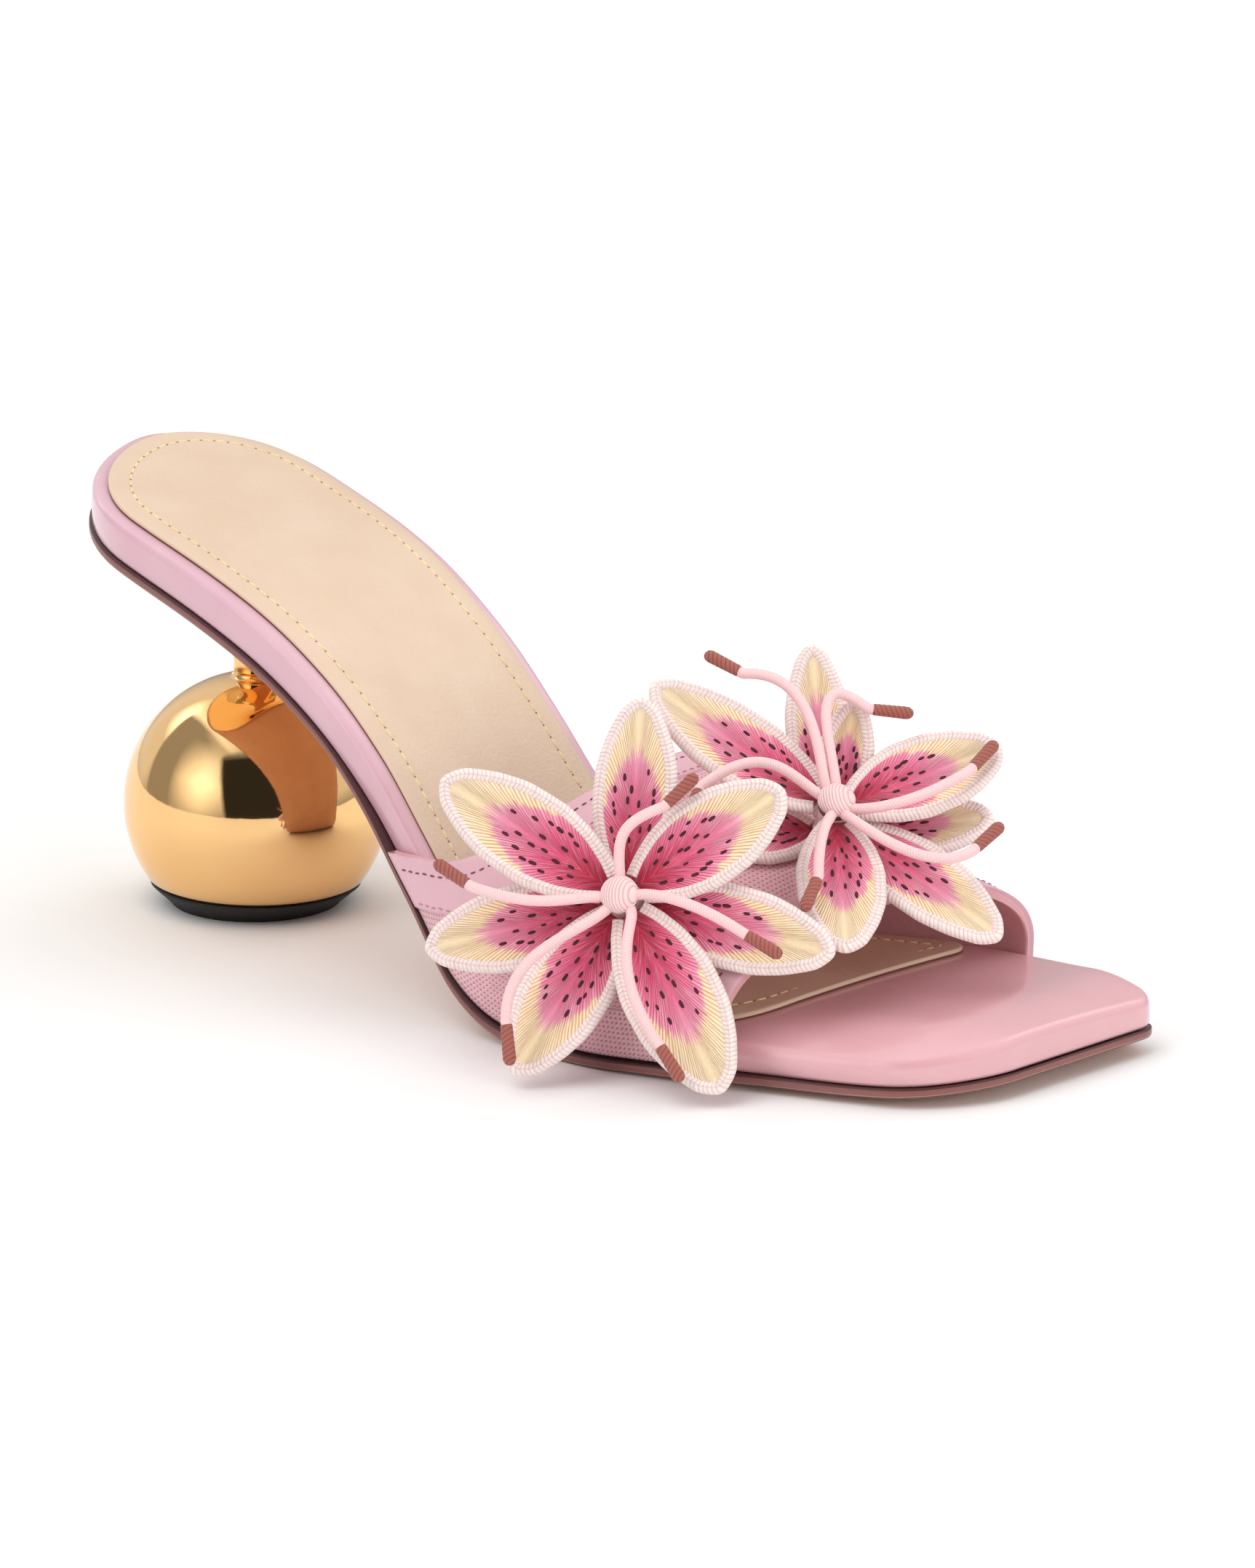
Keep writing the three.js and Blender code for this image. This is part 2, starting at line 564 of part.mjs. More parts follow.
// The wall steps out by bandRaise under the leather band along each edge.
function vamp() {
  const acrossSteps = [1, (1 + shoulderShare) / 2, shoulderShare, 0.8, 0.72, 0.6, 0.46, 0.3, 0.15];
  const acrossList = [...acrossSteps.map((v) => -v), 0, ...acrossSteps.reverse()];
  const riser = 0.5;
  const clothRows = 7;
  const raised = wallThickness + bandRaise;
  const rowsAt = (across) => {
    const length = vampInside(0, across).distanceTo(vampInside(1, across));
    const rear = rearBandWidth / length;
    const front = 1 - frontBandWidth / length;
    const rise = riser / length;
    const rows = [
      { edge: 0, depth: raised },
      { edge: rear / 2, depth: raised },
      { edge: rear, depth: raised },
    ];
    for (let i = 0; i <= clothRows; i += 1) {
      const edge = THREE.MathUtils.lerp(rear + rise, front - rise, i / clothRows);
      rows.push({ edge, depth: wallThickness });
    }
    rows.push({ edge: front, depth: raised }, { edge: 1, depth: raised });
    return rows;
  };
  const points = [];
  const columns = acrossList.map((across) =>
    rowsAt(across).map(({ edge, depth }) => ({
      inside: points.push(vampPoint(edge, across, 0)) - 1,
      outside: points.push(vampPoint(edge, across, depth)) - 1,
    })),
  );
  const triangles = [];
  const quad = (a, b, c, d) => triangles.push([a, b, c], [a, c, d]);
  const last = columns[0].length - 1;
  for (let j = 0; j + 1 < columns.length; j += 1) {
    const [here, next] = [columns[j], columns[j + 1]];
    for (let i = 0; i < last; i += 1) {
      quad(here[i].outside, here[i + 1].outside, next[i + 1].outside, next[i].outside);
      quad(here[i].inside, next[i].inside, next[i + 1].inside, here[i + 1].inside);
    }
    quad(here[0].inside, here[0].outside, next[0].outside, next[0].inside);
    quad(here[last].inside, next[last].inside, next[last].outside, here[last].outside);
  }
  const outerFoot = columns[0];
  const innerFoot = columns[columns.length - 1];
  for (let i = 0; i < last; i += 1) {
    quad(outerFoot[i].inside, outerFoot[i + 1].inside, outerFoot[i + 1].outside, outerFoot[i].outside);
    quad(innerFoot[i].inside, innerFoot[i].outside, innerFoot[i + 1].outside, innerFoot[i + 1].inside);
  }
  return makeMesh("vamp", "pink_cloth", points, triangles);
}

// A solid of revolution about the upright axis, from pairs of radius and height.
function turned(name, slot, profile, sides) {
  const points = profile.map(([radius, height]) => new THREE.Vector2(radius, height));
  const geometry = new THREE.LatheGeometry(points, sides);
  const mesh = new THREE.Mesh(geometry.rotateX(Math.PI / 2), materials[slot]);
  mesh.name = name;
  return mesh;
}

const roundSides = 32;
const cutRadius = Math.sqrt(ballRadius ** 2 - (ballCentreHeight - tipThickness) ** 2);
const collarFoot = ballCentreHeight + Math.sqrt(ballRadius ** 2 - stemRadius ** 2);
const collarTop = collarFoot + collarHeight;

// The tip stands flat on the ground while its upper face leans with the ball.
function heelTip() {
  const top = tipThickness - clearance;
  const mesh = turned("heel_tip", "black_rubber", [
    [0, 0],
    [tipRadius, 0],
    [cutRadius - tipInset, top - tipShoulder],
    [cutRadius - tipTopInset, top],
    [0, top],
  ], roundSides);
  const place = mesh.geometry.attributes.position;
  for (let i = 0; i < place.count; i += 1) {
    const z = place.getZ(i);
    place.setZ(i, z - place.getX(i) * Math.tan(lean) * (z / top));
  }
  return mesh;
}

function heelBall() {
  const low = Math.asin((tipThickness - ballCentreHeight) / ballRadius);
  const high = Math.acos(stemRadius / ballRadius);
  const rings = 14;
  const profile = [[0, tipThickness]];
  for (let i = 0; i <= rings; i += 1) {
    const turn = THREE.MathUtils.lerp(low, high, i / rings);
    profile.push([ballRadius * Math.cos(turn), ballCentreHeight + ballRadius * Math.sin(turn)]);
  }
  profile.push([stemRadius, collarTop], [0, collarTop]);
  return turned("heel_ball", "gold_metal", profile, roundSides);
}

// The seat plate under the outsole, which flares down into the round stem.
function heelStem() {
  const seatBack = seatInset - heelSetback;
  const seatMiddle = (seatFront + seatBack) / 2;
  const under = (x, y) => groundHeight(x, y) - clearance;
  const seatRim = (turn) => {
    const x = seatMiddle - ((seatFront - seatBack) / 2) * Math.cos(turn);
    const rounding = Math.sqrt(Math.abs(Math.sin(turn)));
    const sign = Math.sin(turn) < 0 ? -1 : 1;
    const y = heelAxisSide + (edgeSide(sign, x) - sign * seatInset - heelAxisSide) * Math.min(1, rounding);
    return new THREE.Vector2(x, y);
  };
  const stem = (turn, radius) => new THREE.Vector2(-radius * Math.cos(turn), radius * Math.sin(turn));
  const stemTop = under(0, 0) - seatThickness - flareHeight;
  const rings = [
    (turn) => {
      const p = seatRim(turn);
      return new THREE.Vector3(p.x, p.y, under(p.x, p.y));
    },
    (turn) => {
      const p = seatRim(turn);
      return new THREE.Vector3(p.x, p.y, under(p.x, p.y) - seatThickness);
    },
    ...FLARE.map(({ blend, drop }) => (turn) => {
      const p = seatRim(turn).lerp(stem(turn, stemRadius), blend);
      const plate = under(p.x, p.y) - seatThickness;
      return new THREE.Vector3(p.x, p.y, THREE.MathUtils.lerp(plate, stemTop, drop));
    }),
    (turn) => {
      const p = stem(turn, stemRadius);
      return new THREE.Vector3(p.x, p.y, collarTop + clearance);
    },
  ];
  const points = [];
  const triangles = [];
  const addRing = (at) => {
    const first = points.length;
    for (let i = 0; i < roundSides; i += 1) points.push(at((2 * Math.PI * i) / roundSides));
    return first;
  };
  const seatCentre = new THREE.Vector2(seatMiddle, heelAxisSide);
  const capRings = [1 / 3, 2 / 3].map((share) => (turn) => {
    const p = seatCentre.clone().lerp(seatRim(turn), share);
    return new THREE.Vector3(p.x, p.y, under(p.x, p.y));
  });
  const starts = [...capRings, ...rings].map(addRing);
  for (let k = 0; k + 1 < starts.length; k += 1) {
    for (let i = 0; i < roundSides; i += 1) {
      const next = (i + 1) % roundSides;
      const [a, b, c, d] = [starts[k] + i, starts[k] + next, starts[k + 1] + next, starts[k + 1] + i];
      triangles.push([a, b, c], [a, c, d]);
    }
  }
  const { x, y } = seatCentre;
  const top = points.push(new THREE.Vector3(x, y, under(x, y))) - 1;
  const foot = points.push(new THREE.Vector3(0, 0, collarTop + clearance)) - 1;
  for (let i = 0; i < roundSides; i += 1) {
    const next = (i + 1) % roundSides;
    triangles.push([top, starts[0] + next, starts[0] + i]);
    triangles.push([foot, starts[starts.length - 1] + i, starts[starts.length - 1] + next]);
  }
  return makeMesh("heel_stem", "gold_metal", points, triangles);
}

// A petal along its lily's plane: a plate with a thick rim down both sides.
function petal(row) {
  const turn = THREE.MathUtils.degToRad(row.turn);
  const forward = new THREE.Vector3(Math.cos(turn), Math.sin(turn), 0);
  const side = new THREE.Vector3(-forward.y, forward.x, 0);
  const up = new THREE.Vector3(0, 0, 1);
  const length = row.reach * petalLength;
  const points = [];
  const triangles = [];
  const starts = PETAL_SHAPE.map(({ at, width }) => {
    const half = (width * row.width * petalWidth) / 2;
    const rim = Math.min(rimRadius, half * widestRim);
    const rimRise = rimRadius * (at < 1 ? 1 : tipRimRise);
    const cup = petalCup * Math.sin(Math.PI * at);
    const plate = petalPlate / 2;
    const section = [
      [-half, cup],
      [-half + rim, cup - rimRise],
      [-half + 2 * rim, cup - plate],
      [0, -plate],
      [half - 2 * rim, cup - plate],
      [half - rim, cup - rimRise],
      [half, cup],
      [half - rim, cup + rimRise],
      [half - 2 * rim, cup + plate],
      [0, plate],
      [-half + 2 * rim, cup + plate],
      [-half + rim, cup + rimRise],
    ];
    const radius = THREE.MathUtils.lerp(rootRadius, length, at);
    const middle = row.layer * layerStep + row.rise * petalLength * at * at;
    const first = points.length;
    for (const [across, height] of section) {
      const p = forward.clone().multiplyScalar(radius).addScaledVector(side, across);
      points.push(p.addScaledVector(up, middle + height));
    }
    return { first, count: section.length };
  });
  const count = starts[0].count;
  for (let k = 0; k + 1 < starts.length; k += 1) {
    for (let i = 0; i < count; i += 1) {
      const next = (i + 1) % count;
      const [a, b] = [starts[k].first + i, starts[k].first + next];
      const [c, d] = [starts[k + 1].first + next, starts[k + 1].first + i];
      triangles.push([a, b, c], [a, c, d]);
    }
  }
  const closeEnd = (first, flip) => {
    for (let i = 0; i < count / 2; i += 1) {
      const [low, lowNext] = [first + i, first + i + 1];
      const [high, highNext] = [first + ((count - i) % count), first + count - i - 1];
      const strip = [];
      if (low !== high) strip.push([low, highNext, high]);
      if (lowNext !== highNext) strip.push([low, lowNext, highNext]);
      for (const [a, b, c] of strip) triangles.push(flip ? [a, b, c] : [a, c, b]);
    }
  };
  closeEnd(starts[0].first, false);
  closeEnd(starts[starts.length - 1].first, true);
  return makeMesh(`${row.lily}_petal_${row.petal}`, "petal_thread", points, triangles);
}

const topLayer = Math.max(...PETALS.map((row) => row.layer));
const stamenRoot = topLayer * layerStep + cordRoot;

// The wound button over the petals, on the post that holds them.
function button(row) {
  return turned(`${row.lily}_button`, "pale_cord", [
    [0, -row.post],
    [postRadius, -row.post],
    [postRadius, stamenRoot + BUTTON[0].height - buttonFlare],
    ...BUTTON.map(({ radius, height }) => [buttonRadius * radius, stamenRoot + height]),
  ], roundSides / 2);
}

function polar(degrees, radius, height) {
  const turn = THREE.MathUtils.degToRad(degrees);
  return new THREE.Vector3(radius * Math.cos(turn), radius * Math.sin(turn), height);
}

// Where a stamen's cord ends.
function stamenEnd(row) {
  return polar(row.end, row.reach * petalLength, row.height * petalLength);
}

// The cord of a stamen.
function filament(row) {
  const from = buttonRadius + rootGap;
  const end = stamenEnd(row);
  const path = new THREE.CubicBezierCurve3(
    polar(row.turn, from, stamenRoot),
    polar(row.turn, from + row.pull * petalLength, stamenRoot + cordRise),
    end.clone().sub(polar(row.arrive, row.lead * petalLength, -cordRise)),
    end,
  );
  const ring = new THREE.Shape();
  ring.absarc(0, 0, cordRadius, 0, 2 * Math.PI);
  const geometry = new THREE.ExtrudeGeometry(ring, { steps: 9, curveSegments: 4, extrudePath: path });
  const mesh = new THREE.Mesh(geometry, materials.pale_cord);
  mesh.name = `${row.lily}_filament_${row.stamen}`;
  return mesh;
}

// The wrapped anther at the end of a stamen's cord.
function anther(row) {
  const geometry = new THREE.CapsuleGeometry(antherRadius, antherLength - 2 * antherRadius, 2, 8, 1);
  geometry.rotateZ(-Math.PI / 2);
  const mesh = new THREE.Mesh(geometry, materials.anther_thread);
  mesh.rotation.z = THREE.MathUtils.degToRad(row.heading);
  const reach = antherLength / 2 + clearance;
  mesh.position.copy(stamenEnd(row).add(polar(row.heading, reach, 0)));
  mesh.name = `${row.lily}_anther_${row.stamen}`;
  return mesh;
}

function lily(row) {
  const facing = THREE.MathUtils.degToRad(row.facing);
  const lift = THREE.MathUtils.degToRad(row.lift);
  const level = new THREE.Vector3(Math.cos(facing), Math.sin(facing), 0);
  const axis = level.multiplyScalar(Math.cos(lift)).setZ(Math.sin(lift));
  const right = new THREE.Vector3(0, 0, 1).cross(axis).normalize();
  const group = new THREE.Group();
  group.matrixAutoUpdate = false;
  group.matrix
    .makeBasis(right, axis.clone().cross(right), axis)
    .setPosition(row.along * soleLength - heelSetback, row.side * forefootWidth, row.height * vampHeight);
  group.add(button(row));
  for (const each of PETALS.filter((p) => p.lily === row.lily)) group.add(petal(each));
  for (const each of STAMENS.filter((s) => s.lily === row.lily)) group.add(filament(each), anther(each));
  return group;
}

const leaning = new THREE.Group();
leaning.rotation.y = lean;
leaning.add(outsole(), platform(), sock(), vamp(), heelBall(), heelStem(), ...LILIES.map(lily));

const shoe = new THREE.Group();
shoe.add(heelTip(), leaning);

export default shoe;
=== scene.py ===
"""Looks of the heeled mule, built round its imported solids. Sizes are in millimetres until a mesh is made."""

import math

import bpy
import numpy as np
from mathutils import Matrix, Vector


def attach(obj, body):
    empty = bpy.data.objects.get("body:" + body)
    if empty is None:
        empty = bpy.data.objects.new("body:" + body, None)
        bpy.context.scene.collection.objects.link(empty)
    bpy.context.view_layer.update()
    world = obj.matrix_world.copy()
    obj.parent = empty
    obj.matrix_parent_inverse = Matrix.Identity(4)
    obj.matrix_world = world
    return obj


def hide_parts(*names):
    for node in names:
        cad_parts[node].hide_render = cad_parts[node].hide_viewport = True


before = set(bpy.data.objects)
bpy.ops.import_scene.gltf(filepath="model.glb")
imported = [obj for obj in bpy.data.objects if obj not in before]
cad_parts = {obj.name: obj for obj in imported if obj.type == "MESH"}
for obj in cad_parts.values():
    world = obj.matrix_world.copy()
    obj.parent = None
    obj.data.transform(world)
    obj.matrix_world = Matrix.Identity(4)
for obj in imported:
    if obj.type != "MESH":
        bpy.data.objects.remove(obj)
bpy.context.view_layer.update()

MM = 0.001

# ---------------------------------------------------------------- sizes of the solids
SOLE_LENGTH, HEEL_SETBACK, FOREFOOT_WIDTH = 226.8, 33.1, 69.4
HEEL_HEIGHT, TOE_SPRING = 79.3, 3.4
LEAN, SOLE_TWIST = math.radians(1.32), math.radians(3.7)
HEEL_ROUND_LENGTH, HEEL_ROUND_POWER, HEEL_AXIS_SIDE = 27, 2.2, 2.1
TOE_LEAD, OUTER_TOE_RADIUS, INNER_TOE_RADIUS = 3, 15, 5
OUTSOLE_THICKNESS, OUTSOLE_BEVEL, WELT_WIDTH = 2.1, 1, 2.3
PLATFORM_AT_HEEL, PLATFORM_AT_TOE = 6.9, 8.8
PLATFORM_INSET, PLATFORM_EDGE_RADIUS, PLATFORM_CROWN = 0.6, 1.5, 0.8
TOE_FALL, TOE_FALL_REACH = 3.8, 16
SOCK_INSET, SOCK_THICKNESS, SOCK_REACH, SOCK_LEAD = 3.7, 0.8, 189, 3.5
SOCK_OUTER_RADIUS, SOCK_INNER_RADIUS, CLEARANCE = 16, 10, 0.3
VAMP_HEIGHT, RIDGE_SIDE, WALL_THICKNESS, BAND_RAISE = 49, 4, 1.6, 0.5
REAR_BAND_WIDTH, FRONT_BAND_WIDTH, SHOULDER_RISE, FOOT_GAP = 8.2, 7.6, 1, 0.6
SHOULDER_SHARE = 0.86
BALL_RADIUS, BALL_CENTRE_HEIGHT, TIP_THICKNESS, TIP_RADIUS = 26, 20, 4.8, 16.8
STEM_RADIUS, COLLAR_HEIGHT, FLARE_HEIGHT = 4.6, 0.8, 12
SEAT_THICKNESS, SEAT_INSET, SEAT_FRONT = 1.5, 2.6, 9
PETAL_LENGTH, PETAL_WIDTH, PETAL_PLATE, PETAL_CUP = 38, 17.2, 1.2, 0.5
RIM_RADIUS, LAYER_STEP, BUTTON_RADIUS, POST_RADIUS = 1.25, 3.4, 3.5, 3.2
ROOT_RADIUS = POST_RADIUS + CLEARANCE
CORD_RADIUS, CORD_RISE, ROOT_GAP = 1, 3, 0.65
ANTHER_RADIUS, ANTHER_LENGTH = 1.25, 8
STAMEN_ROOT = 2 * LAYER_STEP + 2.5

# Sizes that only the looks have
SOCK_STITCH_INSET = 8.0
RIM_PITCH = 0.8
ROLL = 0.63  # the edges of the vamp's wall are rolled over this length
STRIP_EDGE, STRIP_WIDTH = 0.62, 1.9

# along, outer, inner, welt, fall
OUTLINE = np.array([
    (0, 0.392, 0.42, 0, 0), (0.055, 0.425, 0.412, 0, 0), (0.144, 0.457, 0.396, 0, 0),
    (0.233, 0.472, 0.365, 0, 0), (0.344, 0.48, 0.301, 0, 0), (0.455, 0.508, 0.256, 0.75, 0),
    (0.566, 0.56, 0.311, 1, 0), (0.655, 0.568, 0.396, 1, 0), (0.744, 0.528, 0.473, 0.9, 0.5),
    (0.833, 0.463, 0.523, 0.15, 1), (0.922, 0.37, 0.528, 0, 1), (1, 0.25, 0.495, 0, 0.85),
])
# along, arch, spring
PROFILE = np.array([
    (0, 1, 0), (0.073, 0.9358, 0), (0.144, 0.8732, 0), (0.215, 0.8066, 0), (0.283, 0.7249, 0),
    (0.353, 0.6044, 0), (0.421, 0.4424, 0), (0.477, 0.2659, 0), (0.537, 0.0872, 0), (0.58, 0.0231, 0),
    (0.604, 0.0066, 0), (0.622, 0, 0), (0.678, 0, 0), (0.731, 0, 0.12), (0.788, 0, 0.26), (0.837, 0, 0.36),
    (0.9, 0, 0.42), (0.95, 0, 0.6), (1, 0, 1),
])
VAMP_COLUMNS = (
    "outer_foot", "outer_lean", "inner_foot", "inner_lean", "ridge", "ridge_rise", "out", "forward", "up",
)
# edge, then the columns above
VAMP = np.array([
    (0, 0.443, 0.031, 0.455, 0.031, 0.598, 1, 0.87, 0.55, 1.4),
    (0.3, 0.55, 0.02, 0.573, 0.016, 0.668, 0.95, 0.87, 0.75, 1.05),
    (0.65, 0.672, 0.004, 0.72, 0.004, 0.75, 0.83, 0.9, 0.9, 0.95),
    (1, 0.793, 0, 0.857, 0, 0.834, 0.68, 0.95, 0.95, 0.95),
])
# lily: along, side, height, facing, lift, post
LILIES = {
    "outer_lily": (0.6954, -0.5127, 0.688, -62, 26.2, 3.1),
    "top_lily": (0.7723, 0.0133, 0.8724, -45, 53.4, 2.2),
}
# lily: turn, layer, reach, width, rise
PETALS = {
    "outer_lily": [
        (152, 2, 1.05, 0.98, 0.03), (93, 0, 1, 0.9, -0.03), (38, 2, 0.92, 0.98, 0.03),
        (-10, 1, 1.05, 0.9, 0.05), (-57, 2, 1.06, 1.05, 0), (-117, 1, 0.98, 0.95, 0),
        (-163, 0, 1.01, 0.92, -0.03),
    ],
    "top_lily": [
        (142, 2, 1.08, 0.95, 0.13), (92, 0, 1.02, 0.74, 0.16), (77, 1, 0.6, 0.6, 0.21),
        (22, 2, 0.89, 1, 0.05), (1, 0, 0.78, 0.8, 0.08), (-42, 1, 1.01, 0.9, -0.05),
        (-91, 2, 0.84, 0.95, 0), (-178, 0, 0.68, 0.85, 0.08),
    ],
}
# at, width
PETAL_SHAPE = np.array([
    (0, 0.4), (0.1, 0.64), (0.25, 0.88), (0.42, 1), (0.58, 0.98), (0.73, 0.84), (0.86, 0.61), (0.95, 0.38),
    (1, 0.16),
])
# lily: turn, pull, end, reach, height, arrive, lead, heading
STAMENS = {
    "outer_lily": [
        (96, 6.1, 68, 17.5, 11, 30, 8.2, 49), (-169, 5.8, -178, 26.9, 11, 164, 13.4, 151),
        (4, 2.5, -13, 23.9, 11, -28, 10.3, -26), (-126, 6.4, -126, 30.3, 11, -86, 12.6, -78),
        (-48, 2.6, -69, 28.2, 11, -51, 17.3, -52),
    ],
    "top_lily": [
        (118, 2.8, 121, 30.1, 14, 174, 13.7, 145), (154, 5.7, 177, 25, 12, -143, 14.8, -112),
        (88, 2.7, 69, 19.5, 13, -40, 16, -8), (-33, 3.8, 11, 25.1, 12, 43, 13.4, 50),
        (-68, 2.5, -28, 26.8, 11, 43, 12.9, 45), (-110, 3, -105, 18.7, 11, -92, 7.5, -113),
    ],
}


# ---------------------------------------------------------------- shape functions
def curve_through(rows, column):
    """A smooth curve through one column of a table, which keeps level stretches level."""
    x, y = rows[:, 0], rows[:, column]
    slope = np.diff(y) / np.diff(x)
    before, after = slope[:-1], slope[1:]
    with np.errstate(divide="ignore", invalid="ignore"):
        inner = np.where(before * after <= 0, 0, 2 * before * after / (before + after))
    tangent = np.concatenate([slope[:1], inner, slope[-1:]])

    def value(t):
        held = np.clip(t, x[0], x[-1])
        i = np.clip(np.searchsorted(x, held, side="right") - 1, 0, len(slope) - 1)
        span = x[i + 1] - x[i]
        s = (held - x[i]) / span
        far = 3 * s * s - 2 * s**3
        pulls = s * (1 - s) ** 2 * tangent[i] + s * s * (s - 1) * tangent[i + 1]
        return (1 - far) * y[i] + far * y[i + 1] + span * pulls

    return value


outer_share, inner_share, welt_share, fall_share = (curve_through(OUTLINE, c) for c in (1, 2, 3, 4))
arch_share, spring_share = curve_through(PROFILE, 1), curve_through(PROFILE, 2)
vamp_curve = {name: curve_through(VAMP, i + 1) for i, name in enumerate(VAMP_COLUMNS)}
petal_half = curve_through(PETAL_SHAPE, 1)


def along_of(x):
    return (x + HEEL_SETBACK) / SOLE_LENGTH


def ground_height(x, y):
    along = along_of(x * math.cos(SOLE_TWIST) - y * math.sin(SOLE_TWIST))
    return x * math.tan(LEAN) + HEEL_HEIGHT * arch_share(along) + TOE_SPRING * spring_share(along)


def platform_thickness(x):
    return PLATFORM_AT_HEEL + (PLATFORM_AT_TOE - PLATFORM_AT_HEEL) * along_of(x)


def edge_side(sign, x):
    """Half width of the sole's outline, signed: -1 is the outer side and 1 the inner side."""
    width = FOREFOOT_WIDTH * (outer_share if sign < 0 else inner_share)(along_of(x))
    behind = np.clip((HEEL_ROUND_LENGTH - HEEL_SETBACK - x) / HEEL_ROUND_LENGTH, 0, 1)
    rounding = np.sqrt(np.maximum(0, 1 - behind**HEEL_ROUND_POWER))
    return HEEL_AXIS_SIDE + (sign * width - HEEL_AXIS_SIDE) * rounding


def share_across(x, y):
    outer = edge_side(-1, x)
    return np.clip((y - outer) / (edge_side(1, x) - outer), 0, 1)


def platform_full(x, y):
    crown = PLATFORM_CROWN * np.sin(np.pi * share_across(x, y))
    return ground_height(x, y) + OUTSOLE_THICKNESS + platform_thickness(x) + crown


def platform_top(x, y):
    """The platform falls softly to its outer side and its front at the toe."""
    front = SOLE_LENGTH - HEEL_SETBACK - TOE_LEAD * (1 - share_across(x, y))

    def nearness(distance):
        return np.clip(1 - (distance - PLATFORM_INSET) / TOE_FALL_REACH, 0, 1) ** 2

    side = fall_share(along_of(x)) * nearness(y - edge_side(-1, x))
    return platform_full(x, y) - TOE_FALL * (side + nearness(front - x))


def long_edge(sign, front, radius, welt=0.0, heel=22, side=110, corner=14):
    """One long edge of a plan shape from heel to toe, rounded into the straight front."""
    back, start = -HEEL_SETBACK, front - radius
    heel_x = back + HEEL_ROUND_LENGTH * np.linspace(0.03, 1, heel) ** 2
    side_x = np.linspace(back + HEEL_ROUND_LENGTH, start, side + 1)[1:]
    turn = np.linspace(0, np.pi / 2, corner + 1)[1:]
    x = np.concatenate([heel_x, side_x, start + radius * np.sin(turn)])
    cut = np.concatenate([np.zeros(heel + side), radius * (1 - np.cos(turn))])
    return np.stack([x, edge_side(sign, x) + sign * welt * welt_share(along_of(x)) - sign * cut], -1)


def inset_loop(loop, distance):
    into = loop - np.roll(loop, 1, 0)
    out = np.roll(loop, -1, 0) - loop
    into /= np.linalg.norm(into, axis=1, keepdims=True)
    out /= np.linalg.norm(out, axis=1, keepdims=True)
    along = into + out
    along /= np.linalg.norm(along, axis=1, keepdims=True)
    shift = distance / np.maximum(0.5, (along * out).sum(1))
    return loop + np.stack([-along[:, 1] * shift, along[:, 0] * shift], -1)


def beside_platform(sign, x, distance):
    along = np.stack([2 * np.ones_like(x), edge_side(sign, x + 1) - edge_side(sign, x - 1)], -1)
    along /= np.linalg.norm(along, axis=-1, keepdims=True)
    shift = distance - PLATFORM_INSET
    return x - sign * along[..., 1] * shift, edge_side(sign, x) + sign * along[..., 0] * shift


def vamp_inside(edge, across):
    """Inner face of the vamp: edge from rear to front, across from the outer foot to the inner foot."""
    edge, across = np.broadcast_arrays(np.asarray(edge, float), np.asarray(across, float))

    def spot(sign, name, lean):
        along = vamp_curve[name + "_foot"](edge) + lean * vamp_curve[name + "_lean"](edge)
        x, y = beside_platform(sign, along * SOLE_LENGTH - HEEL_SETBACK, CLEARANCE)
        low = ground_height(x, y) + OUTSOLE_THICKNESS + FOOT_GAP
        return np.stack([x, y, platform_full(x, y) + SHOULDER_RISE if lean else low], -1)

    outer_shoulder, inner_shoulder = spot(-1, "outer", 1), spot(1, "inner", 1)
    left = (across < 0)[..., None]
    shoulder = np.where(left, outer_shoulder, inner_shoulder)
    foot = np.where(left, spot(-1, "outer", 0), spot(1, "inner", 0))
    share = np.abs(across)
    ridge_x = vamp_curve["ridge"](edge) * SOLE_LENGTH - HEEL_SETBACK
    ridge_z = vamp_curve["ridge_rise"](edge) * VAMP_HEIGHT - WALL_THICKNESS
    ridge = np.stack([ridge_x, np.full_like(ridge_x, RIDGE_SIDE), ridge_z], -1)
    span = inner_shoulder[..., 1] - outer_shoulder[..., 1]
    middle = outer_shoulder + (inner_shoulder - outer_shoulder) * (
        (RIDGE_SIDE - outer_shoulder[..., 1]) / span
    )[..., None]
    turn = np.pi / 2 * (1 - np.minimum(share / SHOULDER_SHARE, 1))
    out = np.maximum(0, np.cos(turn)) ** vamp_curve["out"](edge)
    forward = np.sin(turn) ** vamp_curve["forward"](edge)
    up = np.sin(turn) ** vamp_curve["up"](edge)
    rise = ridge - middle
    lift = np.stack([rise[..., 0] * forward, rise[..., 1] * up, rise[..., 2] * up], -1)
    arched = middle + (shoulder - middle) * out[..., None] + lift
    low = np.clip((share - SHOULDER_SHARE) / (1 - SHOULDER_SHARE), 0, 1)[..., None]
    return np.where(low > 0, shoulder + (foot - shoulder) * low, arched)


def vamp_normal(edge, across, step=0.01):
    along = vamp_inside(np.minimum(1, edge + step), across) - vamp_inside(np.maximum(0, edge - step), across)
    side = vamp_inside(edge, np.minimum(1, across + step)) - vamp_inside(edge, np.maximum(-1, across - step))
    normal = np.cross(along, side)
    return normal / np.linalg.norm(normal, axis=-1, keepdims=True)


def leant(points):
    """The sole stands on the heel's tip with a small lean forward."""
    x, y, z = points[..., 0], points[..., 1], points[..., 2]
    c, s = math.cos(LEAN), math.sin(LEAN)
    return np.stack([x * c + z * s, y, z * c - x * s], -1)


